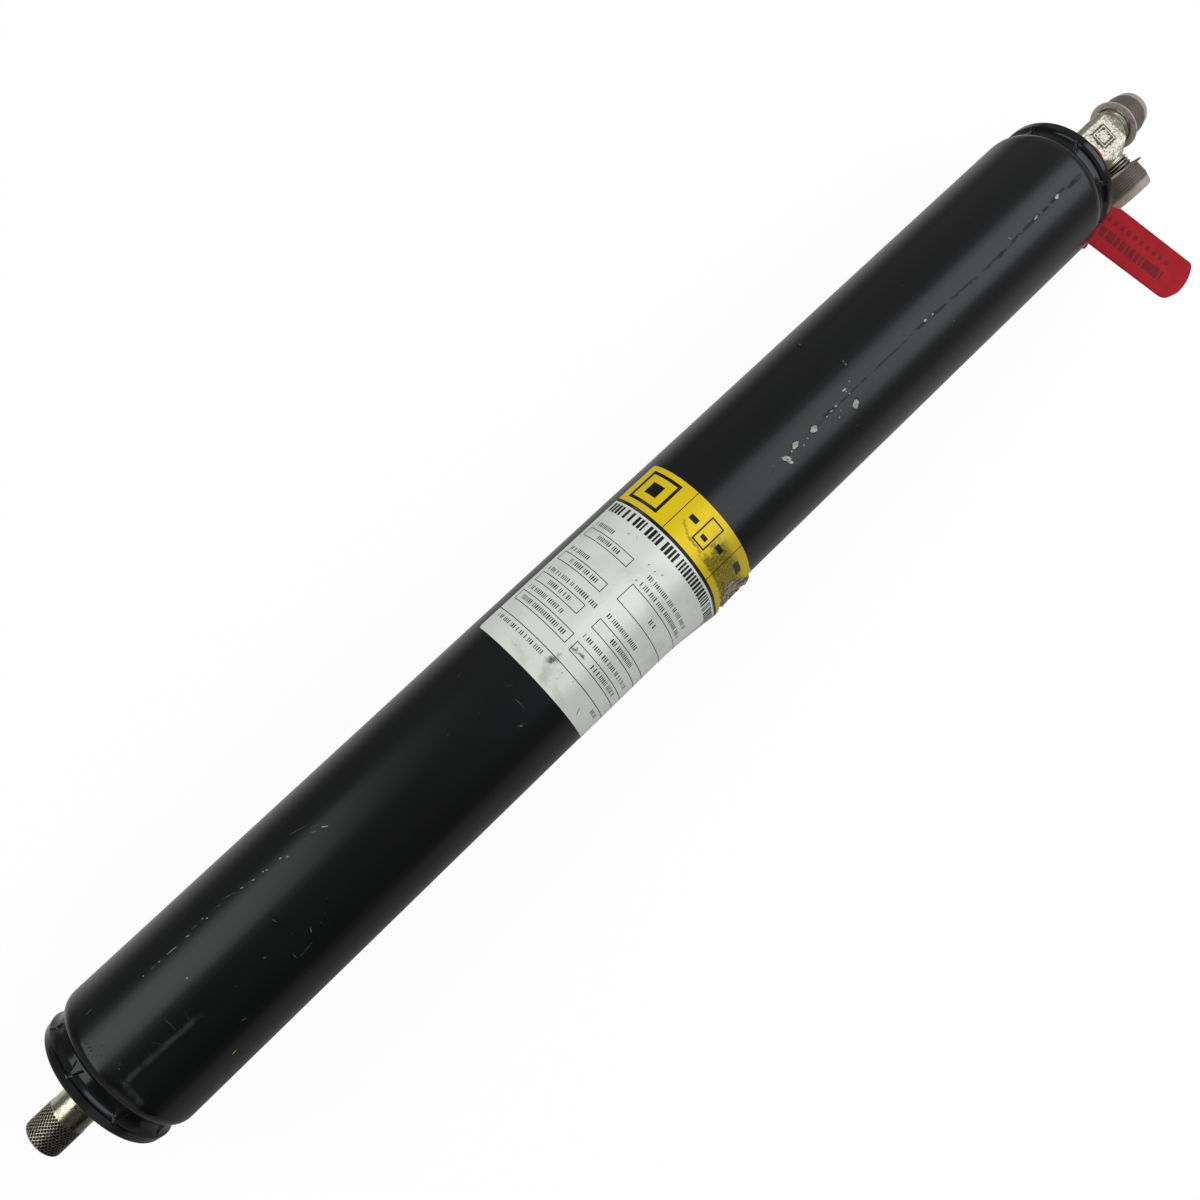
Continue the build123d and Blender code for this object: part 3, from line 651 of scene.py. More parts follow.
@dataclass(frozen=True)
class LabelFilm:
    """Printed film, a little dirty, in one of the label's colours, with light and shade painted across it."""

    ink: Ink
    dirt: Colour = srgb(150, 141, 120)
    spot: Colour = srgb(58, 52, 44)
    old_glue: Colour = srgb(70, 67, 52)
    grease: Colour = srgb(84, 76, 12)
    mustard: Colour = srgb(176, 152, 6)
    # Colour of the painted shade along the film's lifted lower edge.
    edge: Colour = srgb(112, 100, 90)
    blot: Colour = srgb(62, 50, 38)
    nick: Colour = srgb(34, 32, 30)
    painted_shade_share: float = 0.66
    blots: tuple[Streak, ...] = tuple(Streak(*row) for row in (
        (-57.2, -1.2, -54.2, 3.4, 1.9, 1.0), (-53.8, 1.0, -51.4, 1.6, 0.8, 0.5), (-46.7, 3.6, -46.4, 8.6, 1.25, 0.95),
        (-46.5, 9.5, -45.9, 16.0, 0.8, 0.9),
    ))
    smears: tuple[Streak, ...] = tuple(Streak(*row) for row in (
        (-57.5, 1.0, -64.4, 8.5, 2.6, 0.34), (-60.5, -28.0, -64.5, -8.0, 2.6, 0.2),
        (-62.0, 14.0, -64.5, 30.0, 2.4, 0.24), (-12.0, -14.0, 2.0, 14.0, 4.4, 0.14),
        (-30.0, -50.0, -10.0, -20.0, 5.0, 0.12),
    ))
    nicks: tuple[Streak, ...] = tuple(Streak(*row) for row in (
        (-59.5, 42.0, -62.2, 45.2, 0.3, 0.95), (-56.3, 12.0, -56.0, 12.6, 0.3, 0.95),
        (-59.3, 12.3, -59.0, 12.8, 0.26, 0.9), (-61.7, 9.7, -61.5, 10.2, 0.22, 0.8),
        (-61.6, -24.6, -61.3, -24.1, 0.3, 0.85), (1.0, -28.2, 1.4, -26.8, 0.3, 0.9),
        (2.6, -21.6, 1.6, -20.2, 0.16, 0.7), (-2.7, -1.2, -2.1, -0.4, 0.34, 0.95), (-2.8, 5.0, -2.2, 6.2, 0.28, 0.9),
        (-1.5, 10.3, -1.0, 11.8, 0.32, 0.9), (-10.7, 0.3, -10.0, 1.6, 0.45, 0.85),
    ))
    rubs: tuple[Streak, ...] = tuple(Streak(*row) for row in (
        (20.6, -7.0, 17.0, 3.0, 0.75, 0.5), (17.0, 3.0, 16.8, 19.0, 0.8, 0.6),
    ))

    def build(self) -> Material:
        """Makes the material.

        Returns:
            The material.
        """
        name, colour, roughness = self.ink.value
        sheet = TubeSheet(name)
        smear = sheet.noise(16.0, 6.0, roughness=0.65).step(0.5, 0.75) * 0.28
        spots = sheet.specks(5.0, 0.075, 2.0) * sheet.noise(12.0).step(0.48, 0.62) * 0.75
        # Painted highlight and painted shade across the white and yellow film.
        if self.ink in (Ink.WHITE, Ink.YELLOW):
            colour = self.painted_light_band(sheet, colour)
        film = sheet.mix(smear, colour, self.dirt)
        film = sheet.mix(spots, film, self.spot)
        if self.ink is Ink.YELLOW:
            film = self.greased(sheet, film)
        if self.ink is Ink.RESIDUE:
            film = sheet.mix(sheet.noise(1.4, 5.0, (2.5, 1, 1), 0.7).step(0.42, 0.6), film, self.old_glue)
        if self.ink is Ink.WHITE:
            film = self.stained(sheet, film)
        rough = sheet.noise(9.0, 4.0).scaled(0.16, roughness - 0.08)
        normal = sheet.bump(sheet.noise(9.0, 3.0, shift=4.0), 0.05, 0.35)
        sheet.set(Base_Color=film, Roughness=rough, Normal=normal, Specular_IOR_Level=0.28)
        return sheet.material

    def painted_light_band(self, sheet: TubeSheet, colour: Colour) -> Signal:
        """Paints light and shade across the film: a painted highlight along a stripe at its top, painted shade on
        both sides of it and towards the gas end.

        Args:
            sheet: Sheet of the material.
            colour: The film's colour where the painted highlight is.

        Returns:
            The colour with its painted highlight and shade.
        """
        # Painted shade below and above the highlight stripe, and towards the gas end.
        lower = sheet.around.step(11.0, 33.0) * 0.97
        upper = sheet.around.step(3.0, -12.0) * 0.4
        upper = sheet.around.step(-30.0, -62.0).scaled(0.27, upper)
        end = sheet.along.step(-34.0, -52.0) * 0.36
        painted_shade_colour = tuple(self.painted_shade_share * part for part in colour)
        return sheet.mix(sheet.any_of((lower, upper, end)), colour, painted_shade_colour)

    def greased(self, sheet: TubeSheet, film: Signal) -> Signal:
        """Darkens the yellow field's lower part with ground-in grease.

        Args:
            sheet: Sheet of the material.
            film: The film's colour.

        Returns:
            The greased colour.
        """
        fray = sheet.noise(3.0, 6.0, roughness=0.7) - 0.5
        across = fray.scaled(2.5, sheet.along)
        turned = fray.scaled(26.0, sheet.around)
        sides = across.step(14.6, 15.8) * across.step(30.0, 25.0)
        lower = turned.step(19.0, 26.0) * sheet.around.step(92.0, 74.0)
        grain = sheet.noise(0.9, 4.0, shift=2.5).step(0.3, 0.62).scaled(0.45, 0.5)
        film = sheet.mix(turned.step(22.0, 48.0) * 0.75, film, self.mustard)
        fine = (sheet.noise(1.6, 5.0, shift=5.0) - 0.5) * 3.4
        film = sheet.mix(sheet.streaks(self.rubs, fine), film, self.grease)
        return sheet.mix(sides * lower * grain, film, self.grease)

    def stained(self, sheet: TubeSheet, film: Signal) -> Signal:
        """Adds the white field's blots, smears and nicks, and painted shade along its lifted lower edge.

        Args:
            sheet: Sheet of the material.
            film: The film's colour.

        Returns:
            The stained colour.
        """
        coarse = (sheet.noise(2.4, 5.0, shift=3.0) - 0.5) * 5.0
        film = sheet.mix(sheet.streaks(self.smears, coarse), film, self.dirt)
        # Painted shade along the film's lifted lower edge.
        film = sheet.mix(sheet.around.step(80.0, 87.5) * 0.75, film, self.edge)
        torn = (sheet.noise(1.3, 6.0, shift=3.0) - 0.5) * 4.2
        film = sheet.mix(sheet.streaks(self.blots, torn) * 0.9, film, self.blot)
        fine = (sheet.noise(1.0, 3.0, shift=3.0) - 0.5) * 0.5
        return sheet.mix(sheet.streaks(self.nicks, fine), film, self.nick)


@dataclass(frozen=True)
class Metal:
    """Bare or plated metal with a dull tone in its blotches."""

    name: str
    colour: Colour
    stain: Colour
    roughness: float = 0.35
    stain_size: float = 6.0
    stain_from: float = 0.5
    stain_to: float = 0.72
    grain_mm: float = 0.7
    grain_depth: float = 0.0

    def sheet(self) -> tuple[ShaderSheet, Signal]:
        """Makes the node sheet.

        Returns:
            The sheet and its colour.
        """
        sheet = ShaderSheet(self.name)
        stain = sheet.noise(self.stain_size, 6.0, roughness=0.65).step(self.stain_from, self.stain_to)
        colour = sheet.mix(stain, self.colour, self.stain)
        rough = sheet.noise(self.stain_size / 3, 4.0, shift=3.0).scaled(0.24, self.roughness - 0.12)
        sheet.set(Base_Color=colour, Roughness=stain.scaled(0.15, rough), Metallic=1.0)
        if self.grain_depth > 0:
            sheet.set(Normal=sheet.bump(sheet.noise(self.grain_mm, 4.0, shift=9.0), self.grain_depth, 0.8))
        return sheet, colour

    def build(self) -> Material:
        """Makes the material."""
        return self.sheet()[0].material


@dataclass(frozen=True)
class WornAndShadedMetal(Metal):
    """Plated steel, worn bright with a painted highlight on its crests and edges, brown with dirt and painted shade
    in its hollows, and on request with a painted dark reflection along one side.
    """

    # Hollow colour: dirt with painted shade; edge colour: worn metal with a painted highlight.
    hollow_dirt_and_shade: Colour = srgb(46, 40, 30)
    edge: Colour = srgb(232, 230, 208)
    recess_from: float = 0.6
    recess_to: float = 0.15
    edge_from: float = 0.7
    edge_to: float = 1.0
    edge_share: float = 0.7
    painted_dark_side: float = 0.0

    def build(self) -> Material:
        """Makes the material.

        Returns:
            The material.
        """
        sheet, colour = self.sheet()
        crest = sheet.attribute(Relief.attribute) + (sheet.noise(1.1, 4.0, shift=7.0) - 0.5) * 0.5
        # Crests get a painted highlight along with their wear, hollows painted shade along with their dirt.
        edge_wear_and_highlight = crest.step(self.edge_from, self.edge_to) * self.edge_share
        hollow_dirt_and_shade_share = crest.step(self.recess_from, self.recess_to) * 0.9
        colour = sheet.mix(hollow_dirt_and_shade_share, sheet.mix(edge_wear_and_highlight, colour, self.edge), self.hollow_dirt_and_shade)
        # Painted shade: a dark reflection painted on the piece's side, from about 14 to 96 degrees round.
        if self.painted_dark_side > 0:
            around = sheet.noise(2.0, 5.0, shift=6.0).scaled(40.0, sheet.tube_place()[1])
            low = around.step(14.0, 36.0) * around.step(96.0, 80.0)
            colour = sheet.mix(low * self.painted_dark_side, colour, self.hollow_dirt_and_shade)
        sheet.set(Base_Color=colour)
        return sheet.material


@dataclass(frozen=True)
class Moulded:
    """Moulded plastic or rubber with faint clouds and a fine skin."""

    name: str
    colour: Colour
    shade: Colour
    roughness: float = 0.4
    skin_mm: float = 0.8
    skin_depth: float = 0.01
    cloud_mm: float = 8.0
    shine: float = 0.5

    def sheet(self) -> ShaderSheet:
        """Makes the node sheet.

        Returns:
            The sheet.
        """
        sheet = ShaderSheet(self.name)
        cloud = sheet.noise(self.cloud_mm, 5.0).step(0.35, 0.7)
        sheet.set(Base_Color=sheet.mix(cloud, self.colour, self.shade))
        rough = sheet.noise(3.0, 4.0, shift=2.0).scaled(0.14, self.roughness - 0.07)
        normal = sheet.bump(sheet.noise(self.skin_mm, 3.0, shift=1.0), self.skin_depth, 0.6)
        sheet.set(Roughness=rough, Normal=normal, Specular_IOR_Level=self.shine)
        return sheet

    def build(self) -> Material:
        """Makes the material."""
        return self.sheet().material


@dataclass(frozen=True)
class CapPlastic(Moulded):
    """Dirty, slightly see-through plastic of the push-on caps: pale brim and end, greyer side."""

    brim: Colour = srgb(196, 184, 174)
    side: Colour = srgb(92, 84, 75)
    end: Colour = srgb(190, 175, 160)
    see_through: float = 0.3
    attribute = "cap_along"

    def build(self) -> Material:
        """Makes the material.

        Returns:
            The material.
        """
        sheet = self.sheet()
        along = sheet.attribute(self.attribute) + (sheet.noise(2.5, 4.0, shift=4.0) - 0.5) * 1.6
        colour = sheet.mix(along.step(0.9, 1.6), self.brim, self.side)
        rings = sheet.maths("SINE", along * 5.2).scaled(0.5, 0.5)
        colour = sheet.mix(rings * 0.22, colour, self.brim)
        colour = sheet.mix(along.step(9.9, 11.2), colour, self.end)
        dirt = sheet.noise(3.0, 6.0, roughness=0.7).step(0.5, 0.72) * 0.5
        sheet.set(Base_Color=sheet.mix(dirt, colour, self.shade), Transmission_Weight=self.see_through, IOR=1.3)
        return sheet.material


class Finishes:
    """Every finish on the object, made once."""

    def __init__(self) -> None:
        """Makes the materials."""
        self.paint = BlackPaint().build()
        self.inks = {ink: LabelFilm(ink).build() for ink in Ink}
        self.plated = Metal("zinc_plate", srgb(190, 186, 168), srgb(104, 94, 72), 0.36).build()
        self.knurled = WornAndShadedMetal("knurled_plate", srgb(176, 168, 150), srgb(74, 64, 51), 0.17, 1.1, 0.46, 0.6,
                                 0.45, 0.05, hollow_dirt_and_shade=srgb(24, 19, 15), recess_from=0.8, recess_to=0.3,
                                 painted_dark_side=0.6).build()
        self.forged = WornAndShadedMetal("forged_plate", srgb(214, 209, 190), srgb(124, 112, 90), 0.34, 1.2, 0.51, 0.66,
                                0.7, 0.07, hollow_dirt_and_shade=srgb(50, 42, 30), recess_from=0.4, recess_to=0.15,
                                edge_from=0.6, edge_to=0.85).build()
        self.threaded = WornAndShadedMetal("threaded_plate", srgb(178, 174, 156), srgb(96, 86, 64), 0.34, 2.4).build()
        self.bare = Moulded("bare_chip", srgb(166, 167, 158), srgb(118, 119, 112), 0.45, 0.5, 0.03, 1.1).build()
        self.pit = Moulded("paint_pit", srgb(5, 5, 6), srgb(16, 16, 16), 0.6, 0.4, 0.03, 1.5).build()
        self.faint = Moulded("paint_nick", srgb(92, 94, 90), srgb(56, 57, 56), 0.5, 0.4, 0.02, 1.5).build()
        self.brass = Metal("turned_brass", srgb(206, 176, 108), srgb(150, 118, 60), 0.3).build()
        self.alloy = Metal("turned_alloy", srgb(198, 199, 201), srgb(160, 162, 165), 0.32).build()
        self.rubber = Moulded("black_rubber", srgb(24, 24, 25), srgb(36, 36, 36), 0.5).build()
        self.backup = Moulded("ring_plastic", srgb(226, 221, 206), srgb(210, 204, 188), 0.45).build()
        self.bearing = Moulded("wear_ring_resin", srgb(92, 80, 64), srgb(76, 66, 54), 0.5).build()
        self.cap = CapPlastic("cap_moulding", srgb(140, 132, 124), srgb(84, 76, 68), 0.34, 1.2, 0.02).build()
        self.tag = Moulded("tag_moulding", srgb(166, 16, 28), srgb(154, 13, 25), 0.5, 0.6, 0.008, shine=0.12).build()
        self.tag_print = Moulded("tag_print", srgb(124, 24, 31), srgb(104, 27, 32), 0.55, cloud_mm=5.0,
                                 shine=0.12).build()


class GeometrySheet(NodeSheet):
    """Node sheet of a geometry tree with named number inputs, which works on the points' places."""

    def __init__(self, name: str, inputs: Iterable[str]) -> None:
        """Makes the tree with its sockets.

        Args:
            name: Name of the tree.
            inputs: Names of its number inputs.
        """
        super().__init__(bpy.data.node_groups.new(name, "GeometryNodeTree"))
        face = self.tree.interface
        face.new_socket("Geometry", in_out="INPUT", socket_type="NodeSocketGeometry")
        self.identifiers = {
            n: face.new_socket(n, in_out="INPUT", socket_type="NodeSocketFloat").identifier for n in inputs
        }
        face.new_socket("Geometry", in_out="OUTPUT", socket_type="NodeSocketGeometry")
        self.source = self.node("NodeGroupInput")
        self.result = self.node("NodeGroupOutput")
        self.x, self.y, self.z = self.split(self.node("GeometryNodeInputPosition").outputs[0])

    def value(self, name: str) -> Signal:
        """Reads a named input."""
        return Signal(self, self.source.outputs[name])

    def turn_share(self) -> Signal:
        """Works out which share of a turn about X a point has made, from -0.5 to 0.5."""
        return self.maths("ARCTAN2", self.y * -1.0, self.z) / (2 * math.pi)

    def saw(self, value: Signal) -> Signal:
        """Folds a value into a ridge that is 0 at whole numbers and 1 half way between them."""
        return 1.0 - abs(self.maths("FRACT", value) - 0.5) * 2.0

    def zone(self, fade_mm: float, root_mm: float) -> Signal:
        """Keeps a pattern between its ends and off the walls of the bore.

        Args:
            fade_mm: Length over which it fades at both ends.
            root_mm: Radius below which there is no pattern.

        Returns:
            The share of the pattern from 0 to 1.
        """
        fade = fade_mm * MM
        rise = self.maths("DIVIDE", self.x - self.value("Start"), fade, clamp=True)
        fall = self.maths("DIVIDE", self.value("End") - self.x, fade, clamp=True)
        radius = self.maths("SQRT", self.y * self.y + self.z * self.z)
        return rise * fall * self.maths("GREATER_THAN", radius, root_mm * MM)

    def sink(self, depth: Signal, attribute: str, crest: Signal, material: Material) -> None:
        """Moves the surface towards the X axis, marks its crests and ends the tree.

        Args:
            depth: How far each point sinks in metres.
            attribute: Name of the attribute that keeps the crests.
            crest: Height of the pattern from 0 to 1.
            material: Material to set.
        """
        out = self.node("ShaderNodeCombineXYZ", {1: self.y, 2: self.z}).outputs[0]
        unit = self.node("ShaderNodeVectorMath", {0: out}, operation="NORMALIZE").outputs[0]
        offset = self.node("ShaderNodeVectorMath", {0: unit, "Scale": depth * -1.0}, operation="SCALE").outputs[0]
        stored = {"Name": attribute, "Geometry": self.source.outputs["Geometry"], "Value": crest}
        shape = self.node("GeometryNodeStoreNamedAttribute", stored, data_type="FLOAT", domain="POINT").outputs[0]
        shape = self.node("GeometryNodeSetPosition", {"Geometry": shape, "Offset": offset}).outputs[0]
        shape = self.node("GeometryNodeRealizeInstances", {0: shape}).outputs[0]
        shape = self.node("GeometryNodeSetMaterial", {"Geometry": shape, "Material": material}).outputs[0]
        self.feed(self.result.inputs[0], shape)

    def apply(self, target: Object, values: dict[str, float], sharp_degrees: float) -> None:
        """Runs the tree on an object and keeps the result as a plain mesh.

        Args:
            target: Object to change.
            values: Number for each named input.
            sharp_degrees: Angle above which an edge stays sharp.
        """
        modifier = target.modifiers.new("pattern", "NODES")
        modifier.node_group = self.tree
        for name, number in values.items():
            modifier[self.identifiers[name]] = number
        Mesher.shade(Mesher.settle(target), sharp_degrees)


@dataclass(frozen=True)
class Relief:
    """A pattern sunk into the outside of a round piece about the X axis."""

    start: float
    end: float
    pitch: float
    depth: float
    attribute = "crest"
    tree_name = "relief"
    fade = 0.3
    root = 7.6
    sharp_degrees = 60.0

    def sizes(self) -> dict[str, float]:
        """Gives the tree's inputs in metres."""
        return {"Start": self.start * MM, "End": self.end * MM, "Pitch": self.pitch * MM, "Depth": self.depth * MM}

    def crest(self, sheet: GeometrySheet) -> Signal:
        """Works out the height of the pattern from 0 to 1."""
        raise NotImplementedError

    def press(self, target: Object, material: Material) -> None:
        """Sinks the pattern into a piece.

        Args:
            target: The piece.
            material: Its material.
        """
        sheet = GeometrySheet(self.tree_name, self.sizes())
        crest = self.crest(sheet)
        hollow = (1.0 - crest) * sheet.zone(self.fade, self.root)
        sheet.sink(hollow * sheet.value("Depth"), self.attribute, 1.0 - hollow, material)
        sheet.apply(target, self.sizes(), self.sharp_degrees)


@dataclass(frozen=True)
class Knurl(Relief):
    """A diamond knurl pressed into a round grip."""

    crests: int
    tree_name = "diamond_knurl"

    def sizes(self) -> dict[str, float]:
        """Gives the tree's inputs, its lengths in metres."""
        return {**super().sizes(), "Crests": float(self.crests)}

    def crest(self, sheet: GeometrySheet) -> Signal:
        """Works out the height of the diamonds.

        Args:
            sheet: Sheet of the tree.

        Returns:
            The height from 0 to 1.
        """
        turns = sheet.turn_share() * sheet.value("Crests")
        along = sheet.x / sheet.value("Pitch")
        return sheet.maths("MAXIMUM", sheet.saw(along + turns), sheet.saw(along - turns)).scaled(1.9, -0.75, True)


@dataclass(frozen=True)
class ScrewThread(Relief):
    """A right-hand outside thread cut into a round barrel."""

    tree_name = "screw_thread"
    fade = 0.8
    root = 7.4
    sharp_degrees = 45.0

    def crest(self, sheet: GeometrySheet) -> Signal:
        """Works out the height of the thread from 0 to 1."""
        along = sheet.x / sheet.value("Pitch")
        return sheet.saw(along + sheet.turn_share()).scaled(1.3, -0.12, True)


@dataclass
class Assembly:
    """A sub-assembly, with the finishes that its pieces are dressed in."""

    finishes: Finishes

    @staticmethod
    def wear(piece: Object, body: str, slot: str, *nodes: str) -> None:
        """Lets a piece ride on a body and stand for its solids.

        Args:
            piece: The finished piece.
            body: Body that it moves with.
            slot: Not used.
            nodes: Solids that it stands for.
        """
        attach(piece, body)
        if nodes:
            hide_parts(*nodes)
        log.info("%s: %d faces, for %s", piece.name, len(piece.data.polygons), ", ".join(nodes) or "no solid")

    @staticmethod
    def keep(material: Material, *nodes: str) -> None:
        """Leaves solids' meshes as they are and gives them their finish.

        Args:
            material: Their finish.
            nodes: Names of the solids.
        """
        for node in nodes:
            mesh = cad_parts[node].data
            mesh.materials.clear()
            mesh.materials.append(material)
            log.info("%s: solid kept, %s", node, material.name)


@dataclass(frozen=True)
class TubeEnd:
    """How one end of the shell came out of its forming.

    Attributes:
        ridge: Angle of the first ridge between two jaws, in degrees from the top.
        land_drop: How far the land leans down to the lip in millimetres.
        stretch: How round the shoulder is: below 1 it bends earlier and more gently.
    """

    ridge: float
    land_drop: float
    stretch: float


@dataclass
class ShellTube(Assembly):
    """The drawn shell with its rounded shoulders and crimped ends."""

    gas_end = TubeEnd(ridge=-20.0, land_drop=0.85, stretch=1.0)
    oil_end = TubeEnd(ridge=-12.5, land_drop=0.08, stretch=0.72)

    radius: float = 31.75
    half_length: float = 278.7
    bore_radius: float = 25.4
    land_radius: float = 29.85
    land_width: float = 3.6
    land_edge: float = 0.8
    groove_radius: float = 28.9
    groove_floor: float = 4.8
    groove_end: float = 9.0
    shoulder_radius: float = 5.6
    lip_bore: float = 24.35
    crimped_bore: float = 22.5
    jaws: int = 8
    bite_floor: float = 28.0
    bite_round: float = 3.37
    bite_low: float = 6.6
    bite_end: float = 8.2
    bite_rise: float = 1.0
    bite_fade: float = 9.0
    ridge_at_lip: float = 0.5
    ridge_at_shoulder: float = 4.6
    ridge_side: float = 1.5
    ridge_reach: float = 6.5
    lip_line: float = 1.0
    lip_line_width: float = 0.14
    lip_line_depth: float = 0.1
    plain_inset: float = 4.0
    plain_rings: int = 28

    def shoulder_start(self, end: TubeEnd) -> float:
        """Gives the distance from the end at which the shoulder meets the plain tube."""
        drop = self.shoulder_radius - (self.radius - self.groove_radius)
        return self.groove_end + math.sqrt(self.shoulder_radius**2 - drop**2) / end.stretch

    def plain_radius(self, from_end: np.ndarray, end: TubeEnd) -> np.ndarray:
        """Gives the outer radius without the marks of the jaws.

        Args:
            from_end: Distances from the tube's end in millimetres.
            end: How that end was formed.

        Returns:
            The radii in millimetres.
        """
        e = np.asarray(from_end, float)
        edge = np.sqrt(np.maximum(self.land_edge**2 - np.maximum(self.land_edge - e, 0) ** 2, 0))
        r = self.land_radius - self.land_edge + edge - end.land_drop * np.clip(1 - e / self.land_width, 0, 1)
        r = r - self.lip_line_depth * np.clip(1 - np.abs(e - self.lip_line) / self.lip_line_width, 0, 1)
        wall = smooth_step(self.land_width, self.groove_floor, e)
        r = r - wall * (self.land_radius - self.groove_radius)
        bend = np.clip((self.shoulder_start(end) - e) * end.stretch, 0, self.shoulder_radius)
        arc = np.sqrt(np.maximum(self.shoulder_radius**2 - bend**2, 0))
        shoulder = self.radius - self.shoulder_radius + arc
        return np.where(e > self.groove_end, shoulder, r)

    def bitten_radius(self, from_end: float, around: np.ndarray, end: TubeEnd) -> np.ndarray:
        """Gives the outer radius where the jaws have bitten between the ridges.

        Args:
            from_end: Distance from the tube's end in millimetres.
            around: Angles from the top in degrees.
            end: How that end was formed.

        Returns:
            The radii in millimetres.
        """
        plain = float(self.plain_radius(from_end, end))
        step = 360 / self.jaws
        off = np.abs((around - end.ridge + step / 2) % step - step / 2)
        share = min(max((from_end - self.land_width) / (self.groove_end - self.land_width), 0.0), 1.0)
        half = self.ridge_at_lip + (self.ridge_at_shoulder - self.ridge_at_lip) * share**1.4
        sides = smooth_step(half, half + self.ridge_side, off)
        run = min(max(self.bite_low - from_end, 0.0), self.bite_round)
        bite = self.bite_floor + self.bite_round - math.sqrt(self.bite_round**2 - run**2)
        bite += self.bite_fade * float(smooth_step(self.bite_end, self.bite_end + self.bite_rise, from_end))
        return plain - sides * max(plain - bite, 0.0)

    def rows(self, end: TubeEnd) -> np.ndarray:
        """Lists where the outside is divided near an end.

        Args:
            end: How that end was formed.

        Returns:
            Distances from the end in millimetres.
        """
        lip = self.land_edge * (1 - np.cos(np.linspace(0, math.pi / 2, 6)))
        line = self.lip_line + self.lip_line_width * np.array((-1.0, -0.7, -0.3, 0.0, 0.3, 0.7, 1.0))
        land = np.array((1.6, 2.8, self.land_width))
        wall = np.linspace(self.land_width, self.bite_low, 16)[1:]
        floor = np.linspace(self.bite_low, self.bite_end, 4)[1:]
        rise = np.linspace(self.bite_end, self.groove_end - 0.1, 9)[1:]
        shoulder = self.groove_end + (self.shoulder_start(end) - self.groove_end) * (
            1 - np.cos(np.linspace(0, math.pi / 2, 22)))
        return np.concatenate((lip, line, land, wall, floor, rise, (self.groove_end - 0.02,), shoulder + 1e-4))

    def columns(self) -> np.ndarray:
        """Lists where the outside is divided round the axis, closest near the ridges.

        Returns:
            Angles from the top in degrees.
        """
        step = 360 / self.jaws
        first = min(self.gas_end.ridge, self.oil_end.ridge) - self.ridge_reach
        last = max(self.gas_end.ridge, self.oil_end.ridge) + self.ridge_reach
        near = np.arange(first, last, 0.5)
        far = np.arange(last, first + step, 2.0)
        return np.concatenate([np.concatenate((near, far)) + step * n for n in range(self.jaws)])

    def build(self) -> None:
        """Makes the shell and gives it its paint."""
        around, half, gas, oil = self.columns(), self.half_length, self.gas_end, self.oil_end
        middle = np.linspace(self.shoulder_start(gas) + self.plain_inset,
                             2 * half - self.shoulder_start(oil) - self.plain_inset, self.plain_rings)
        outside = [(e - half, self.bitten_radius(e, around, gas)) for e in self.rows(gas)]
        outside += [(e - half, self.radius) for e in middle]
        outside += [(half - e, self.bitten_radius(e, around, oil)) for e in self.rows(oil)[::-1]]
        inner = ((0.0, self.lip_bore), (self.land_width, self.lip_bore), (self.groove_floor, self.crimped_bore),
                 (self.groove_end, self.crimped_bore), (self.shoulder_start(gas), self.bore_radius))
        inside = [(half - e, r) for e, r in inner] + [(e - half, r) for e, r in inner[::-1]]
        points = np.stack([round_tube(along, around, r) for along, r in outside + inside])
        faces = Mesher.grid_faces(len(points), len(around), True, True)
        shell = Mesher.piece("shell_painted", points, faces, [self.finishes.paint], sharp_degrees=50.0)
        self.wear(shell, "accumulator", "shell_paint", "shell_tube")
        self.keep(self.finishes.paint, "gas_end_cap", "oil_end_cap")


class Tone(Enum):
    """Looks of the marks on the paint."""

    BARE = 0
    PIT = 1
    YELLOW = 2
    FAINT = 3


BARE, PIT, YELLOW, FAINT = Tone


@dataclass(frozen=True)
class Mark:
    """A chip, nick or pit from one place on the tube to another, as distance along and angle round."""

    along_from: float
    around_from: float
    along_to: float
    around_to: float
    width: float
    tone: Tone = BARE


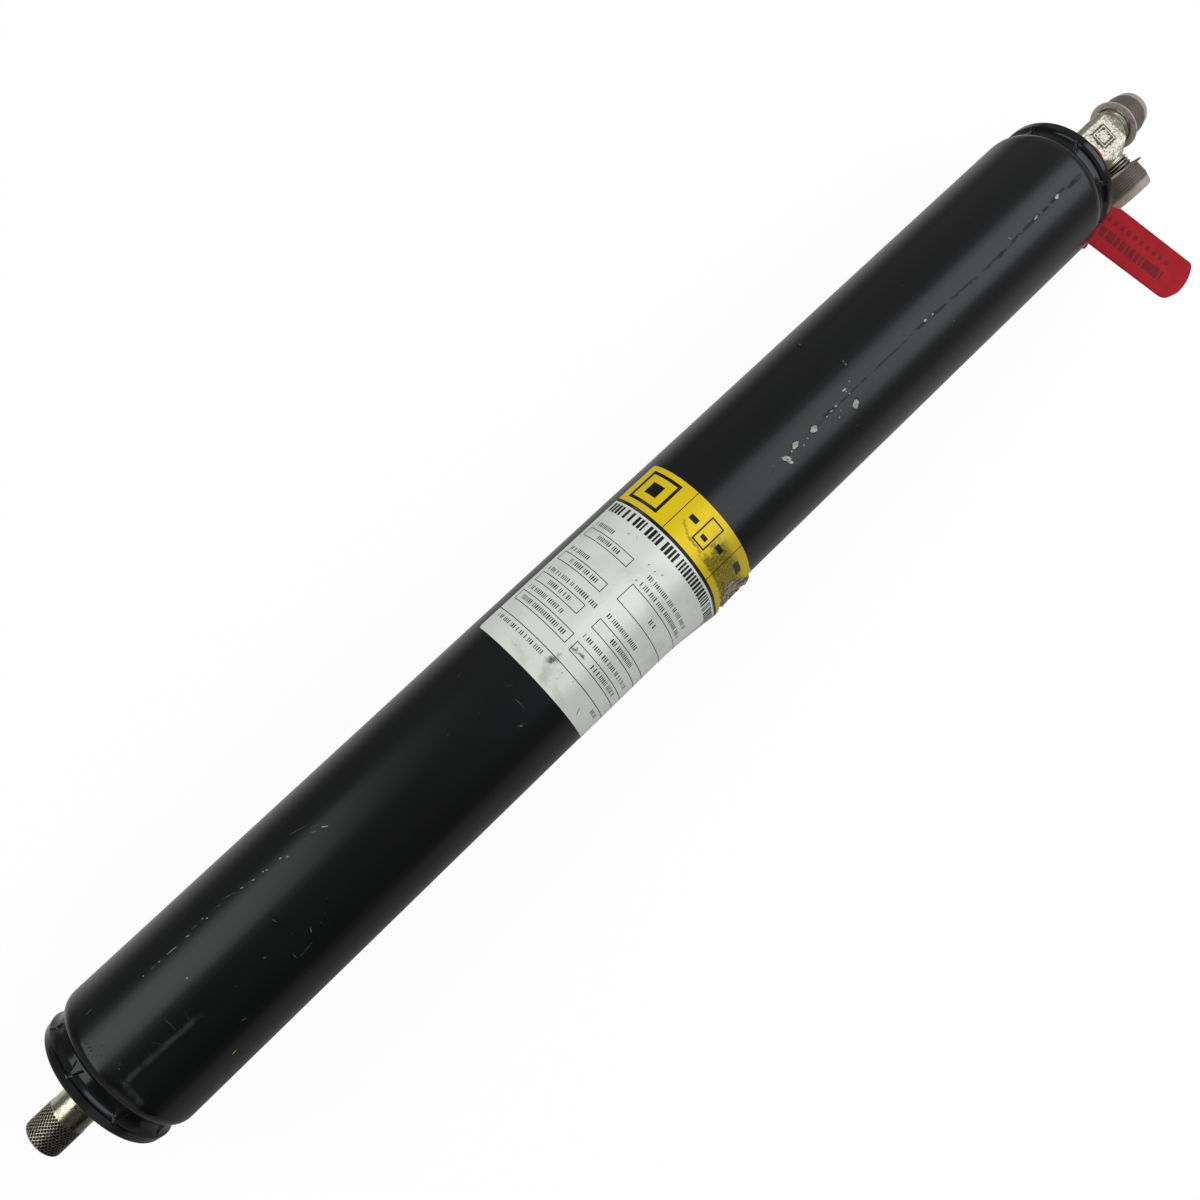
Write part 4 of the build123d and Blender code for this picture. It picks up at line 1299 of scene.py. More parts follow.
@dataclass
class PaintMarks(Assembly):
    """Chips, nicks, pits and flecks on the painted tube."""

    lift: float = 0.014
    rim_lift: float = 0.008
    rim: float = 0.35
    rim_from_width: float = 1.2
    shares = np.array((0.0, 0.35, 0.7, 1.0))
    seed: int = 7
    fleck_count: int = 34
    fleck_reach: Span = (72, 260)
    fleck_turn: Span = (-66, 72)
    chips: tuple[Mark, ...] = tuple(Mark(*row) for row in (
        (67.9, 8.6, 71.9, 15.6, 2.5), (69.6, 13.0, 71.2, 18.6, 1.7), (74.5, 10.2, 79.0, 8.4, 2.7),
        (73.0, 11.2, 74.4, 10.9, 0.9), (85.0, 10.6, 89.7, 9.9, 3.1), (107.0, 21.0, 111.2, 15.9, 2.8),
        (107.6, 4.2, 110.2, 4.9, 1.0), (108.7, 6.3, 109.4, 7.0, 0.7), (112.7, 2.2, 113.4, 2.8, 0.7),
        (109.2, 9.1, 110.1, 9.6, 0.6), (92.7, 8.4, 100.6, 9.2, 1.7, PIT), (97.0, 8.8, 99.4, 9.9, 0.7),
        (94.6, 9.9, 96.0, 10.4, 0.5), (100.6, 8.9, 102.0, 9.3, 0.8), (82.3, 12.1, 83.1, 12.3, 0.6),
        (79.0, 13.9, 80.1, 13.8, 0.6), (99.2, 17.2, 99.9, 17.4, 0.8), (101.6, 14.0, 102.1, 14.1, 0.5),
        (156.6, 8.9, 158.7, 8.7, 1.0), (161.4, 9.3, 163.0, 9.1, 0.7), (229.2, 10.6, 232.1, 9.8, 0.8),
        (244.0, 10.0, 247.2, 9.2, 1.8), (117.8, -13.0, 117.3, -9.6, 0.22), (117.4, -9.0, 117.2, -8.0, 0.6),
        (213.6, 6.2, 214.4, 9.4, 0.25), (104.5, 32.6, 105.2, 33.0, 0.5, FAINT),
        (168.9, 24.8, 169.5, 25.6, 0.5, FAINT), (113.9, -49.6, 114.6, -49.2, 0.5), (63.3, 9.1, 63.9, 9.4, 0.5, FAINT),
        (59.6, 15.3, 60.1, 15.7, 0.5, FAINT), (144.8, 5.9, 146.0, 6.2, 0.6, PIT),
        (118.0, 11.2, 119.6, 12.0, 0.5, PIT), (121.6, 12.9, 122.4, 13.6, 0.5, PIT),
        (37.4, 8.6, 38.0, 9.2, 0.5, FAINT), (40.8, 12.0, 41.2, 12.5, 0.4, FAINT), (43.0, 5.0, 43.4, 5.4, 0.4, FAINT),
        (-225.6, -11.9, -225.0, -11.5, 0.55), (-235.2, 50.2, -232.8, 50.0, 0.45, YELLOW),
        (-264.2, -26.6, -262.9, -24.6, 0.6, PIT), (-263.9, -23.2, -262.7, -21.4, 0.6, PIT),
        (-263.8, -20.6, -262.9, -19.3, 0.8, PIT), (-264.9, -19.4, -264.5, -18.9, 0.4, PIT),
        (-264.3, -17.0, -263.8, -16.6, 0.45, PIT), (-263.2, -15.4, -262.8, -15.0, 0.4, PIT),
        (-261.9, -13.0, -261.3, -12.6, 0.5, PIT), (-260.1, -18.1, -259.5, -17.5, 0.5, PIT),
        (-256.8, -26.4, -256.4, -25.9, 0.35, PIT), (-254.1, -21.5, -253.7, -21.1, 0.35, PIT),
        (-259.4, -1.6, -258.7, -1.0, 0.45, FAINT), (-260.6, 0.2, -260.1, 0.7, 0.4, FAINT),
        (-262.6, 8.8, -262.1, 9.3, 0.4, FAINT), (-184.4, 19.1, -185.9, 23.0, 0.35, FAINT),
        (-195.1, 23.0, -195.6, 29.8, 0.16, FAINT), (-195.6, 29.8, -187.1, 28.0, 0.16, FAINT),
        (-191.7, -1.9, -191.2, 1.8, 0.3, FAINT), (-203.0, 12.6, -201.6, 13.4, 0.4, FAINT),
        (-259.9, -42.1, -256.4, -43.0, 0.25, FAINT), (-223.5, 34.3, -221.7, 34.8, 0.3, FAINT),
        (-75.9, 3.2, -75.8, 9.0, 0.22, FAINT), (-81.8, 18.8, -80.6, 20.2, 0.9, FAINT),
    ))
    dashes: tuple[Mark, ...] = tuple(Mark(*row) for row in (
        (-236.9, -33.6, -236.2, -33.4, 0.35), (-233.4, -33.4, -231.2, -33.3, 0.25, FAINT),
        (-230.1, -33.2, -228.9, -33.3, 0.3), (-226.8, -33.3, -221.4, -32.7, 0.25),
        (-218.4, -33.8, -216.0, -32.6, 0.35, FAINT), (-218.0, -33.0, -216.4, -32.3, 0.3),
        (-215.0, -34.8, -212.4, -34.3, 0.3, FAINT), (-210.3, -35.0, -209.2, -34.6, 0.3),
        (-208.8, -33.0, -208.0, -32.6, 0.35), (-204.8, -34.9, -201.2, -32.8, 0.22, FAINT),
        (-201.3, -36.3, -194.5, -31.5, 0.22, FAINT), (-193.6, -32.0, -192.1, -31.1, 0.4),
        (-188.9, -30.5, -187.3, -29.4, 0.4), (-190.4, -31.3, -188.9, -30.5, 0.2, FAINT),
        (-184.2, -29.9, -183.4, -29.3, 0.45), (-182.9, -28.9, -182.1, -28.3, 0.45),
        (-176.9, -28.4, -175.7, -27.5, 0.5), (-174.6, -25.6, -173.6, -25.0, 0.55),
        (-169.8, -37.3, -162.4, -32.7, 0.18, FAINT), (-163.0, -27.1, -160.6, -24.3, 0.4, FAINT),
        (-158.8, -24.6, -156.3, -21.2, 0.45), (-162.2, -30.0, -158.2, -26.4, 0.2, FAINT),
    ))

    def flecks(self) -> list[Mark]:
        """Scatters tiny flecks over the tube.

        Returns:
            The flecks.
        """
        draw = random.Random(self.seed)
        found = []
        for _ in range(self.fleck_count):
            size = draw.uniform(0.2, 0.5)
            along, around = draw.choice((-1, 1)) * draw.uniform(*self.fleck_reach), draw.uniform(*self.fleck_turn)
            found.append(Mark(along, around, along + size, around + draw.uniform(-1, 1), size * 0.7, FAINT))
        return found

    def patch(self, mark: Mark, grow: float, lift: float, draw: random.Random) -> np.ndarray:
        """Draws a mark with its uneven outline.

        Args:
            mark: The mark.
            grow: How much wider it is drawn, in millimetres.
            lift: Height over the tube in millimetres.
            draw: Source of its unevenness.

        Returns:
            Rings of points in metres, from the middle out to the outline.
        """
        mm_per_degree = math.pi * ShellTube.radius / 180
        run = np.array((mark.along_to - mark.along_from, (mark.around_to - mark.around_from) * mm_per_degree))
        length = float(np.linalg.norm(run))
        ahead = run / length
        count = int(min(12 + 2 * length, 40))
        angles = np.linspace(0, 2 * math.pi, count, endpoint=False)
        reach = np.array([draw.uniform(0.66, 1.0) for _ in angles]) * self.shares[:, None]
        x = np.cos(angles) * reach * (length / 2 + grow)
        y = np.sin(angles) * reach * (mark.width / 2 + grow)
        along = (mark.along_from + mark.along_to) / 2 + x * ahead[0] - y * ahead[1]
        around = (mark.around_from + mark.around_to) / 2 + (x * ahead[1] + y * ahead[0]) / mm_per_degree
        return round_tube(along, around, ShellTube.radius + lift)

    def build(self) -> None:
        """Makes the marks as thin patches on the paint."""
        draw = random.Random(self.seed)
        points, faces, slots = [], [], []
        for mark in (*self.chips, *self.dashes, *self.flecks()):
            layers = [(mark.tone, 0.0, self.lift)]
            if mark.tone is BARE and mark.width > self.rim_from_width:
                layers.append((PIT, self.rim, self.rim_lift))
            for tone, grow, lift in layers:
                rings = self.patch(mark, grow, lift, draw)
                cells = Mesher.grid_faces(len(rings), rings.shape[1], False, True)
                faces.extend(tuple(len(points) + n for n in cell) for cell in cells)
                points.extend(rings.reshape(-1, 3))
                slots.extend([tone.value] * len(cells))
        looks = [self.finishes.bare, self.finishes.pit, self.finishes.inks[Ink.YELLOW], self.finishes.faint]
        made = Mesher.piece("paint_marks", np.array(points), faces, looks, slots, facing=Facing.OFF_TUBE)
        self.wear(made, "accumulator", "shell_paint")


@dataclass(frozen=True)
class Field:
    """One printed field: stretch along the tube in millimetres, stretch round it in degrees, and ink."""

    along_from: float
    along_to: float
    around_from: float
    around_to: float
    ink: Ink = Ink.BLACK


@dataclass
class RatingLabel(Assembly):
    """The wrapped label with its plain fields, rules and bars, and its torn corner."""

    start: float = -65.6
    end: float = 32.9
    angle_from: float = -63.5
    angle_to: float = 89.5
    inner_radius: float = 31.775
    thickness: float = 0.105
    print_lift: float = 0.012
    corner: float = 1.5
    white_end: float = 10.7
    rule_end: float = 12.2
    line: float = 0.33
    seed: int = 11
    edge_lift: float = 2.6
    edge_run: float = 20.0
    edge_turn: float = 66.0
    tear_from: float = 13.4
    tear_points: tuple[Span, ...] = (
        (33.5, 72.0), (31.0, 71.0), (28.0, 66.5), (25.4, 63.0), (21.9, 58.8), (19.0, 55.0), (17.6, 57.5),
        (16.9, 63.0), (16.0, 70.0), (14.8, 77.0), (13.4, 90.5),
    )
    untorn: float = 200.0
    curl_from: float = 40.0
    curl_reach: float = 5.0
    curl_least: float = 0.45
    curl_wave: float = 0.9
    bold_bars: Span = (2.9, 1.25)
    bold_reach: Reach = (5.0, 9.7, -60.5, 84.0)
    boxed_bars: Span = (1.15, 0.95)
    boxed_half: float = 1.05
    small_bars: Span = (1.05, 0.95)
    small_height: float = 2.0
    rule: Span = (-54.15, -53.8)
    print_step: float = 1.8
    lifted_print_step: float = 0.6
    print_turn: float = 1.1
    film_step: float = 1.8
    lifted_film_step: float = 0.45
    film_turn: float = 1.6
    lifted_film_turn: float = 0.8
    lifted_from: float = 50.0
    glue_start: float = 14.0
    glue_end: float = 33.0
    glue_first: float = 52.0
    glue_last: float = 96.0
    glue_step: float = 0.22
    glue_turn: float = 0.42
    glue_height: float = 0.75
    glue_rise: float = 0.95
    glue_rise_turn: Span = (64, 84)
    glue_grain: float = 0.7
    glue_ragged: float = 0.35
    glue_least: float = 0.1
    degrees_per_mm = 180 / (math.pi * 31.9)

    def box(self, area: Reach, line: float) -> list[Field]:
        """Draws an outlined black box.

        Args:
            area: What it goes round, along and round the tube.
            line: Width of its lines in millimetres.

        Returns:
            Its four lines.
        """
        x0, x1, a0, a1 = area
        turn = line * self.degrees_per_mm
        return [Field(x0, x0 + line, a0, a1), Field(x1 - line, x1, a0, a1), Field(x0, x1, a0, a0 + turn),
                Field(x0, x1, a1 - turn, a1)]

    def bars(self, area: Field, widest: float, gap: float) -> list[Field]:
        """Draws a row of plain bars of unequal width.

        Args:
            area: What the row fills, in its ink.
            widest: Width of the widest bar in degrees.
            gap: Gap between bars in degrees.

        Returns:
            The bars.
        """
        draw = random.Random(self.seed + int(10 * (area.along_from + 100)) + int(area.around_from))
        row, angle = [], area.around_from
        while angle < area.around_to - gap:
            width = min(draw.uniform(0.5, 1.0) * widest, area.around_to - angle)
            row.append(Field(area.along_from, area.along_to, angle, angle + width, area.ink))
            angle += width + gap * draw.choice((1.0, 1.0, 1.0, 2.6))
        return row

    def white_fields(self) -> list[Field]:
        """Lists what is printed on the white field.

        Returns:
            The printed fields.
        """
        made = self.bars(Field(*self.bold_reach), *self.bold_bars)
        for x0, x1, b0, b1, n0, n1 in (
            (-9.7, -5.0, -59.0, -10.5, -44.0, -22.0), (-24.2, -19.4, -59.0, -10.5, -46.0, -15.0),
            (-36.7, -31.6, -59.0, -10.5, -45.0, -20.0), (-47.7, -42.4, -59.5, -1.5, -53.0, -5.0),
            (-21.2, -12.3, 1.0, 84.0, 30.0, 38.0), (-36.0, -30.9, 3.0, 84.0, 20.0, 50.0),
            (-48.4, -43.4, 3.5, 84.0, 24.0, 60.0),
        ):
            middle, half = (x0 + x1) / 2, self.boxed_half
            made += self.box((x0, x1, b0, b1), self.line)
            made += self.bars(Field(middle - half, middle + half, n0, n1), *self.boxed_bars)
        for x0, n0, n1 in ((-3.2, -57.0, -36.0), (-17.9, -57.0, -34.0), (-30.1, -57.0, -4.0),
                           (-40.8, -57.0, -18.0), (-57.6, -57.0, -6.0), (-6.8, 5.0, 62.0), (-10.8, 5.0, 68.0),
                           (-28.9, 5.0, 40.0), (-41.1, 4.0, 66.0), (-57.6, 54.0, 68.0)):
            made += self.bars(Field(x0, x0 + self.small_height, n0, n1, Ink.GREY), *self.small_bars)
        made.append(Field(*self.rule, self.angle_from, self.angle_to))
        return made

    def yellow_fields(self) -> list[Field]:
        """Lists the plain marks of the yellow field.

        Returns:
            The printed fields.
        """
        made = [Field(self.rule_end, self.end, -13.9, -13.2), Field(self.rule_end, self.end, 37.8, 38.5)]
        made += self.box((14.8, 30.4, -56.0, -25.0), 1.5)
        made.append(Field(19.6, 25.6, -46.5, -34.5))
        made += self.box((17.8, 30.2, 5.8, 19.0), 0.7)
        made += [Field(*reach) for reach in (
            (22.6, 25.0, -6.0, 1.5), (22.6, 25.0, 23.0, 30.5), (20.6, 22.6, 9.6, 15.2), (25.4, 28.4, 46.0, 58.0))]
        return made

    def tear_line(self, along: float) -> float:
        """Finds where the film is torn away.

        Args:
            along: Distance along the tube in millimetres.

        Returns:
            The angle in degrees past which there is no film.
        """
        if along < self.tear_from:
            return self.untorn
        points = sorted(self.tear_points)
        line = float(np.interp(along, [p[0] for p in points], [p[1] for p in points]))
        return line + noise.noise(Vector((along * 0.8, 3.1, 0))) * 2.6 + noise.noise(Vector((along * 2.6, 0, 7)))

    def lift(self, along: float, around: float) -> float:
        """Works out how far the film stands off at its lower edge and beside the tear.

        Args:
            along: Distance along the tube in millimetres.
            around: Angle round the tube in degrees.

        Returns:
            The lift in millimetres.
        """
        run = min(max((along + self.edge_run) / (self.white_end + self.edge_run), 0.0), 1.0)
        turn = min(max((around - self.edge_turn) / (self.angle_to - self.edge_turn), 0.0), 1.0)
        off = self.edge_lift * run**1.6 * turn**1.5
        if along < self.rule_end or around < self.curl_from:
            return off
        gap = (self.tear_line(max(along, self.tear_from)) - around) / self.degrees_per_mm
        if gap > self.curl_reach:
            return off
        curl = self.curl_least + self.curl_wave * (noise.noise(Vector((along * 0.35, around * 0.2, 1.0))) + 0.5)
        return max(off, float(smooth_step(self.curl_reach, -0.5, gap)) * curl)

    def place(self, along: float, around: float, above: float) -> np.ndarray:
        """Places a point on the film.

        Args:
            along: Distance along the tube in millimetres.
            around: Angle round the tube in degrees.
            above: Height over the film's upper side in millimetres.

        Returns:
            The point in metres.
        """
        lift = self.lift(along, around)
        radius = self.inner_radius + self.thickness + above * (1 + 3 * min(lift, 1.0)) + lift
        return round_tube(along, around, radius)

    def beyond(self, along: float, around: float) -> bool:
        """Tells whether a place lies outside the rounded corners or past the tear.

        Args:
            along: Distance along the tube in millimetres.
            around: Angle round the tube in degrees.

        Returns:
            Whether it is off the film.
        """
        if around > self.tear_line(along):
            return True
        in_x = min(along - self.start, self.end - along)
        in_y = min(around - self.angle_from, self.angle_to - around) / self.degrees_per_mm
        if in_x >= self.corner or in_y >= self.corner:
            return False
        return math.hypot(self.corner - in_x, self.corner - in_y) > self.corner

    def sheet_faces(self, xs: np.ndarray, angles: np.ndarray) -> list[tuple[tuple, float]]:
        """Lists the cells of a grid that lie on the label.

        Args:
            xs: The grid's places along the tube in millimetres.
            angles: Its angles round the tube in degrees.

        Returns:
            Each cell's corner numbers, with its place along the tube.
        """
        cells = []
        for i in range(len(xs) - 1):
            for j in range(len(angles) - 1):
                x, a = (xs[i] + xs[i + 1]) / 2, (angles[j] + angles[j + 1]) / 2
                if not self.beyond(x, a):
                    at = i * len(angles) + j
                    cells.append(((at, at + 1, at + len(angles) + 1, at + len(angles)), x))
        return cells

    def build(self) -> None:
        """Makes the label's film, its print and what is left of its glue."""
        near = np.arange(0, self.corner, 0.25)
        xs = np.concatenate((
            self.start + near, np.arange(self.start + self.corner, self.white_end - 1.0, self.film_step),
            (self.white_end, self.rule_end), np.arange(self.rule_end + 0.6, self.end, self.lifted_film_step),
            (self.end,),
        ))
        turn = near * self.degrees_per_mm
        angles = np.concatenate((
            self.angle_from + turn, np.arange(self.angle_from + 3.0, self.lifted_from, self.film_turn),
            np.arange(self.lifted_from, self.angle_to, self.lifted_film_turn), (self.angle_to,),
        ))
        points = np.array([[self.place(x, a, 0.0) for a in angles] for x in xs])
        cells = self.sheet_faces(xs, angles)
        looks = [self.finishes.inks[ink] for ink in (Ink.WHITE, Ink.BLACK, Ink.YELLOW)]
        slots = [0 if x < self.white_end else 1 if x < self.rule_end else 2 for _, x in cells]
        film = Mesher.piece("label_film", points, [c for c, _ in cells], looks, slots, facing=Facing.OFF_TUBE)
        self.thicken(film)
        self.wear(film, "accumulator", "label_film", "rating_label")
        self.print_fields()
        self.residue()

    def thicken(self, film: Object) -> None:
        """Gives the film its thickness inwards.

        Args:
            film: The film's object.
        """
        modifier = film.modifiers.new("thickness", "SOLIDIFY")
        modifier.thickness = self.thickness * MM * 0.9
        modifier.offset = -1.0
        modifier.use_even_offset = False
        Mesher.shade(Mesher.settle(film), 50.0)

    def print_fields(self) -> None:
        """Makes the printed fields as thin patches on the film."""
        inks = [Ink.BLACK, Ink.GREY]
        points, faces, slots = [], [], []
        for item in (*self.white_fields(), *self.yellow_fields()):
            lifted = item.along_from >= self.rule_end and item.around_to > self.curl_from
            step = self.lifted_print_step if lifted else self.print_step
            count_x = max(1, math.ceil((item.along_to - item.along_from) / step))
            count_a = max(1, math.ceil((item.around_to - item.around_from) / self.print_turn))
            xs = np.linspace(item.along_from, item.along_to, count_x + 1)
            angles = np.linspace(item.around_from, item.around_to, count_a + 1)
            cells = self.sheet_faces(xs, angles)
            base = len(points)
            points.extend(self.place(x, a, self.print_lift) for x in xs for a in angles)
            faces.extend(tuple(base + n for n in cell) for cell, _ in cells)
            slots.extend([inks.index(item.ink)] * len(cells))
        looks = [self.finishes.inks[ink] for ink in inks]
        made = Mesher.piece("label_print", np.array(points), faces, looks, slots, facing=Facing.OFF_TUBE)
        self.wear(made, "accumulator", "label_film")

    def residue(self) -> None:
        """Makes the glue and paper that stay where the corner was torn away."""
        xs = np.arange(self.glue_start, self.glue_end + 0.2, self.glue_step)
        angles = np.arange(self.glue_first, self.glue_last + 1.0, self.glue_turn)
        height = np.zeros((len(xs), len(angles)))
        kept = np.zeros_like(height, bool)
        for i, x in enumerate(xs):
            for j, a in enumerate(angles):
                spot = Vector((x * 0.5 + a * 0.12, a * 0.22, 5.0))
                rough = noise.noise(spot) + 0.6 * noise.noise(spot * 2.9) + 0.35 * noise.noise(spot * 7.0)
                sides = min((x - self.glue_start) / 2.0, (self.glue_end - x) / 1.6, (self.glue_last - a) / 9, 1.0)
                inside = min(sides, (a - self.tear_line(x) + 5) / 7)
                rise = self.glue_height + self.glue_rise * float(smooth_step(*self.glue_rise_turn, a))
                height[i, j] = max(inside, 0) * (rise + self.glue_grain * rough)
                kept[i, j] = inside + rough * self.glue_ragged > self.glue_least
        radius = ShellTube.radius + 0.02 + np.maximum(height, 0.0)
        points = round_tube(xs[:, None], angles[None, :], radius)
        faces = [face for face in Mesher.grid_faces(len(xs), len(angles), False, False)
                 if all(kept.flat[n] for n in face)]
        glue = Mesher.piece("label_glue", points, faces, [self.finishes.inks[Ink.RESIDUE]], facing=Facing.OFF_TUBE)
        self.wear(glue, "accumulator", "label_film")


@dataclass
class GasEnd(Assembly):
    """Gas valve under its knurled guard cap."""

    cap_end: float = -307.0
    cap_mouth: float = -283.0
    cap_radius: float = 8.05
    grip_radius: float = 8.25
    grip_length: float = 11.6
    bore_radius: float = 6.4
    bore_end: float = -303.6
    knurl_inset: float = 0.5
    knurl_pitch: float = 1.7
    knurl_depth: float = 0.32
    knurl_crests: int = 34
    row_step: float = 0.14
    vent_from_mouth: float = 5.5
    vent_radius: float = 0.8
    vent_depth: float = 1.2

    def outline(self) -> list[tuple]:
        """Lists the guard cap's outline from its outer end round to the bore's end.

        Returns:
            The outline's points in millimetres.
        """
        grip_end = self.cap_end + self.grip_length
        nose = Mesher.rounded(((self.cap_end, 0.0, 0), (self.cap_end, self.grip_radius, 1.1),
                               (self.cap_end + 3.0, self.grip_radius, 0)), 6)[:-1]
        grip = [(x, self.grip_radius) for x in np.arange(self.cap_end + 1.2, grip_end, self.row_step)]
        band = [(x, self.cap_radius) for x in np.arange(grip_end + 0.5, self.cap_mouth - 0.6, 0.2)]
        mouth = Mesher.rounded(((self.cap_mouth, self.cap_radius, 0.4), (self.cap_mouth, self.bore_radius, 0.3),
                                (self.bore_end, self.bore_radius, 0.3), (self.bore_end, 0.0, 0)))
        return [*nose, *grip, *band, *mouth]

    def drill(self, points: np.ndarray) -> np.ndarray:
        """Sinks the vent into the guard cap's wall.

        Args:
            points: Rows of points round the cap in metres.

        Returns:
            The points with the vent.
        """
        points = points.copy()
        off_x = points[..., 0] / MM - (self.cap_mouth - self.vent_from_mouth)
        inside = np.hypot(off_x, points[..., 1] / MM) < self.vent_radius
        inside &= points[..., 2] / MM > self.cap_radius - 0.2
        points[..., 2] -= inside * self.vent_depth * MM
        return points

    def build(self) -> None:
        """Makes the guard cap and dresses the valve."""
        look = self.finishes
        cap = Mesher.turned("guard_cap_knurled", self.outline(), 288, look.knurled, self.drill)
        Knurl(self.cap_end + self.knurl_inset, self.cap_end + self.grip_length, self.knurl_pitch,
              self.knurl_depth, self.knurl_crests).press(cap, look.knurled)
        self.wear(cap, "guard_cap", "knurled_steel", "valve_guard_cap")
        self.keep(look.plated, "gas_valve_body")
        self.keep(look.brass, "gas_valve_core", "gas_valve_pin")
        self.keep(look.rubber, "gas_valve_o_ring", "guard_cap_seal", "gas_cap_o_ring")
        self.keep(look.backup, "gas_cap_backup_ring")


@dataclass
class PistonSet(Assembly):
    """The piston with its seal, backup rings and wear rings."""

    def build(self) -> None:
        """Dresses the piston and its rings."""
        self.keep(self.finishes.alloy, "piston")
        self.keep(self.finishes.rubber, "piston_o_ring")
        self.keep(self.finishes.backup, "piston_gas_backup_ring", "piston_oil_backup_ring")
        self.keep(self.finishes.bearing, "piston_gas_wear_ring", "piston_oil_wear_ring")


@dataclass
class ForgedTee(Assembly):
    """The forged tee with its two threaded outlets."""

    centre: float = 305.0
    top: float = 9.7
    top_reach: Reach = (-9.1, 9.0, -8.3, 7.0)
    side: float = 7.0
    side_reach: Reach = (-9.8, 9.8, -9.3, 9.5)
    run_root: Span = (15.5, 8.25)
    branch_root: Span = (12.5, 8.1)
    stud_radius: float = 5.55
    stud_end: float = 269.5
    collar_radius: float = 6.95
    collar_length: float = 0.9
    pad_side: float = 8.6
    pad_shift: Span = (0.4, -0.4)
    pad_rim: float = 1.1
    pad_height: float = 0.55
    pad_field: float = 0.2
    pad_foot: float = 0.6
    voxel: float = 0.27
    softening: float = 0.5
    soft_rounds: int = 3
    grain: float = 0.11
    grain_sink: float = 0.7
    grain_layers: tuple[Span, ...] = ((1.1, 0.7), (0.4, 1.0), (2.3, 0.5))
    crest_scale: float = 0.11
    crest_reach: int = 6
    thread_step: float = 0.13
    thread_radius: float = 8.63
    root_radius: float = 7.85
    root_overlap: float = 1.6
    undercut: float = 0.9
    reach: float = 26.0
    chamfer: float = 0.8
    bore_radius: float = 2.9
    groove_inner: float = 3.85
    groove_outer: float = 5.75
    groove_depth: float = 1.3
    pitch: float = 1.588
    thread_depth: float = 0.8

    def outlet(self, name: str, root: float, place: Matrix) -> Object:
        """Makes one threaded outlet.

        Args:
            name: Name of the object.
            root: Distance from the block's centre at which the forging ends.
            place: Where it goes, in metres.

        Returns:
            The outlet.
        """
        start, foot, tip = root + self.undercut, root - self.root_overlap, self.reach - self.chamfer
        outer = [(foot, self.root_radius), (start - 0.4, self.root_radius)]
        outer += [(x, self.thread_radius) for x in np.arange(start, tip, self.thread_step)]
        outer += [(tip, self.thread_radius), (self.reach, self.thread_radius - self.chamfer)]
        floor = self.reach - self.groove_depth
        face = [(self.reach, self.groove_outer), (floor, self.groove_outer), (floor, self.groove_inner),
                (self.reach, self.groove_inner), (self.reach, self.bore_radius), (foot, self.bore_radius)]
        made = Mesher.turned(name, [*outer, *face], 144, self.finishes.threaded)
        thread = ScrewThread(start - 0.3, self.reach + 0.2, self.pitch, self.thread_depth)
        thread.press(made, self.finishes.threaded)
        made.data.transform(place)
        return made

    def corners(self, low: float, high: float, across: bool) -> list[Vector]:
        """Lists the block's corners between two places.

        Args:
            low: Lower limit in millimetres from the block's centre.
            high: Upper limit in millimetres from the block's centre.
            across: Whether the limits are on Y and not on X.

        Returns:
            The corners.
        """
        found = []
        for height, (x0, x1, y0, y1) in ((self.top, self.top_reach), (self.side, self.side_reach)):
            if across:
                y0, y1 = max(y0, low), min(y1, high)
            else:
                x0, x1 = max(x0, low), min(x1, high)
            found += [Vector((x, y, z)) for x in (x0, x1) for y in (y0, y1) for z in (-height, height)]
        return found

    @staticmethod
    def hoop(along: float, radius: float, branch: bool = False) -> list[Vector]:
        """Lists points on a ring round an outlet's or the stud's axis.

        Args:
            along: Distance from the block's centre along the axis.
            radius: Radius of the ring.
            branch: Whether the axis is the branch's.

        Returns:
            The points.
        """
        angles = np.linspace(0, 2 * math.pi, 64, endpoint=False)
        ring = [(along, math.cos(a) * radius, math.sin(a) * radius) for a in angles]
        return [Vector((y, -x, z)) if branch else Vector((x, y, z)) for x, y, z in ring]

    def pad(self) -> list[list[Vector]]:
        """Lists the plain raised frame on the block's top and its sunk field.

        Returns:
            The corners of each part.
        """
        half, rim = self.pad_side / 2, self.pad_rim
        middle_x, middle_y = self.pad_shift
        low = self.top - self.pad_foot
        field = [Vector((middle_x + x, middle_y + y, z)) for x in (-half + 0.3, half - 0.3)
                 for y in (-half + 0.3, half - 0.3) for z in (low, self.top + self.pad_field)]
        parts = [field]
        for side in (-1, 1):
            for crosswise in (False, True):
                bar = []
                for z, inset in ((low, -0.1), (self.top + self.pad_height, 0.25)):
                    for u in (side * (half - inset), side * (half - rim + inset)):
                        for v in (-half + inset, half - inset):
                            x, y = (u, v) if crosswise else (v, u)
                            bar.append(Vector((middle_x + x, middle_y + y, z)))
                parts.append(bar)
        return parts

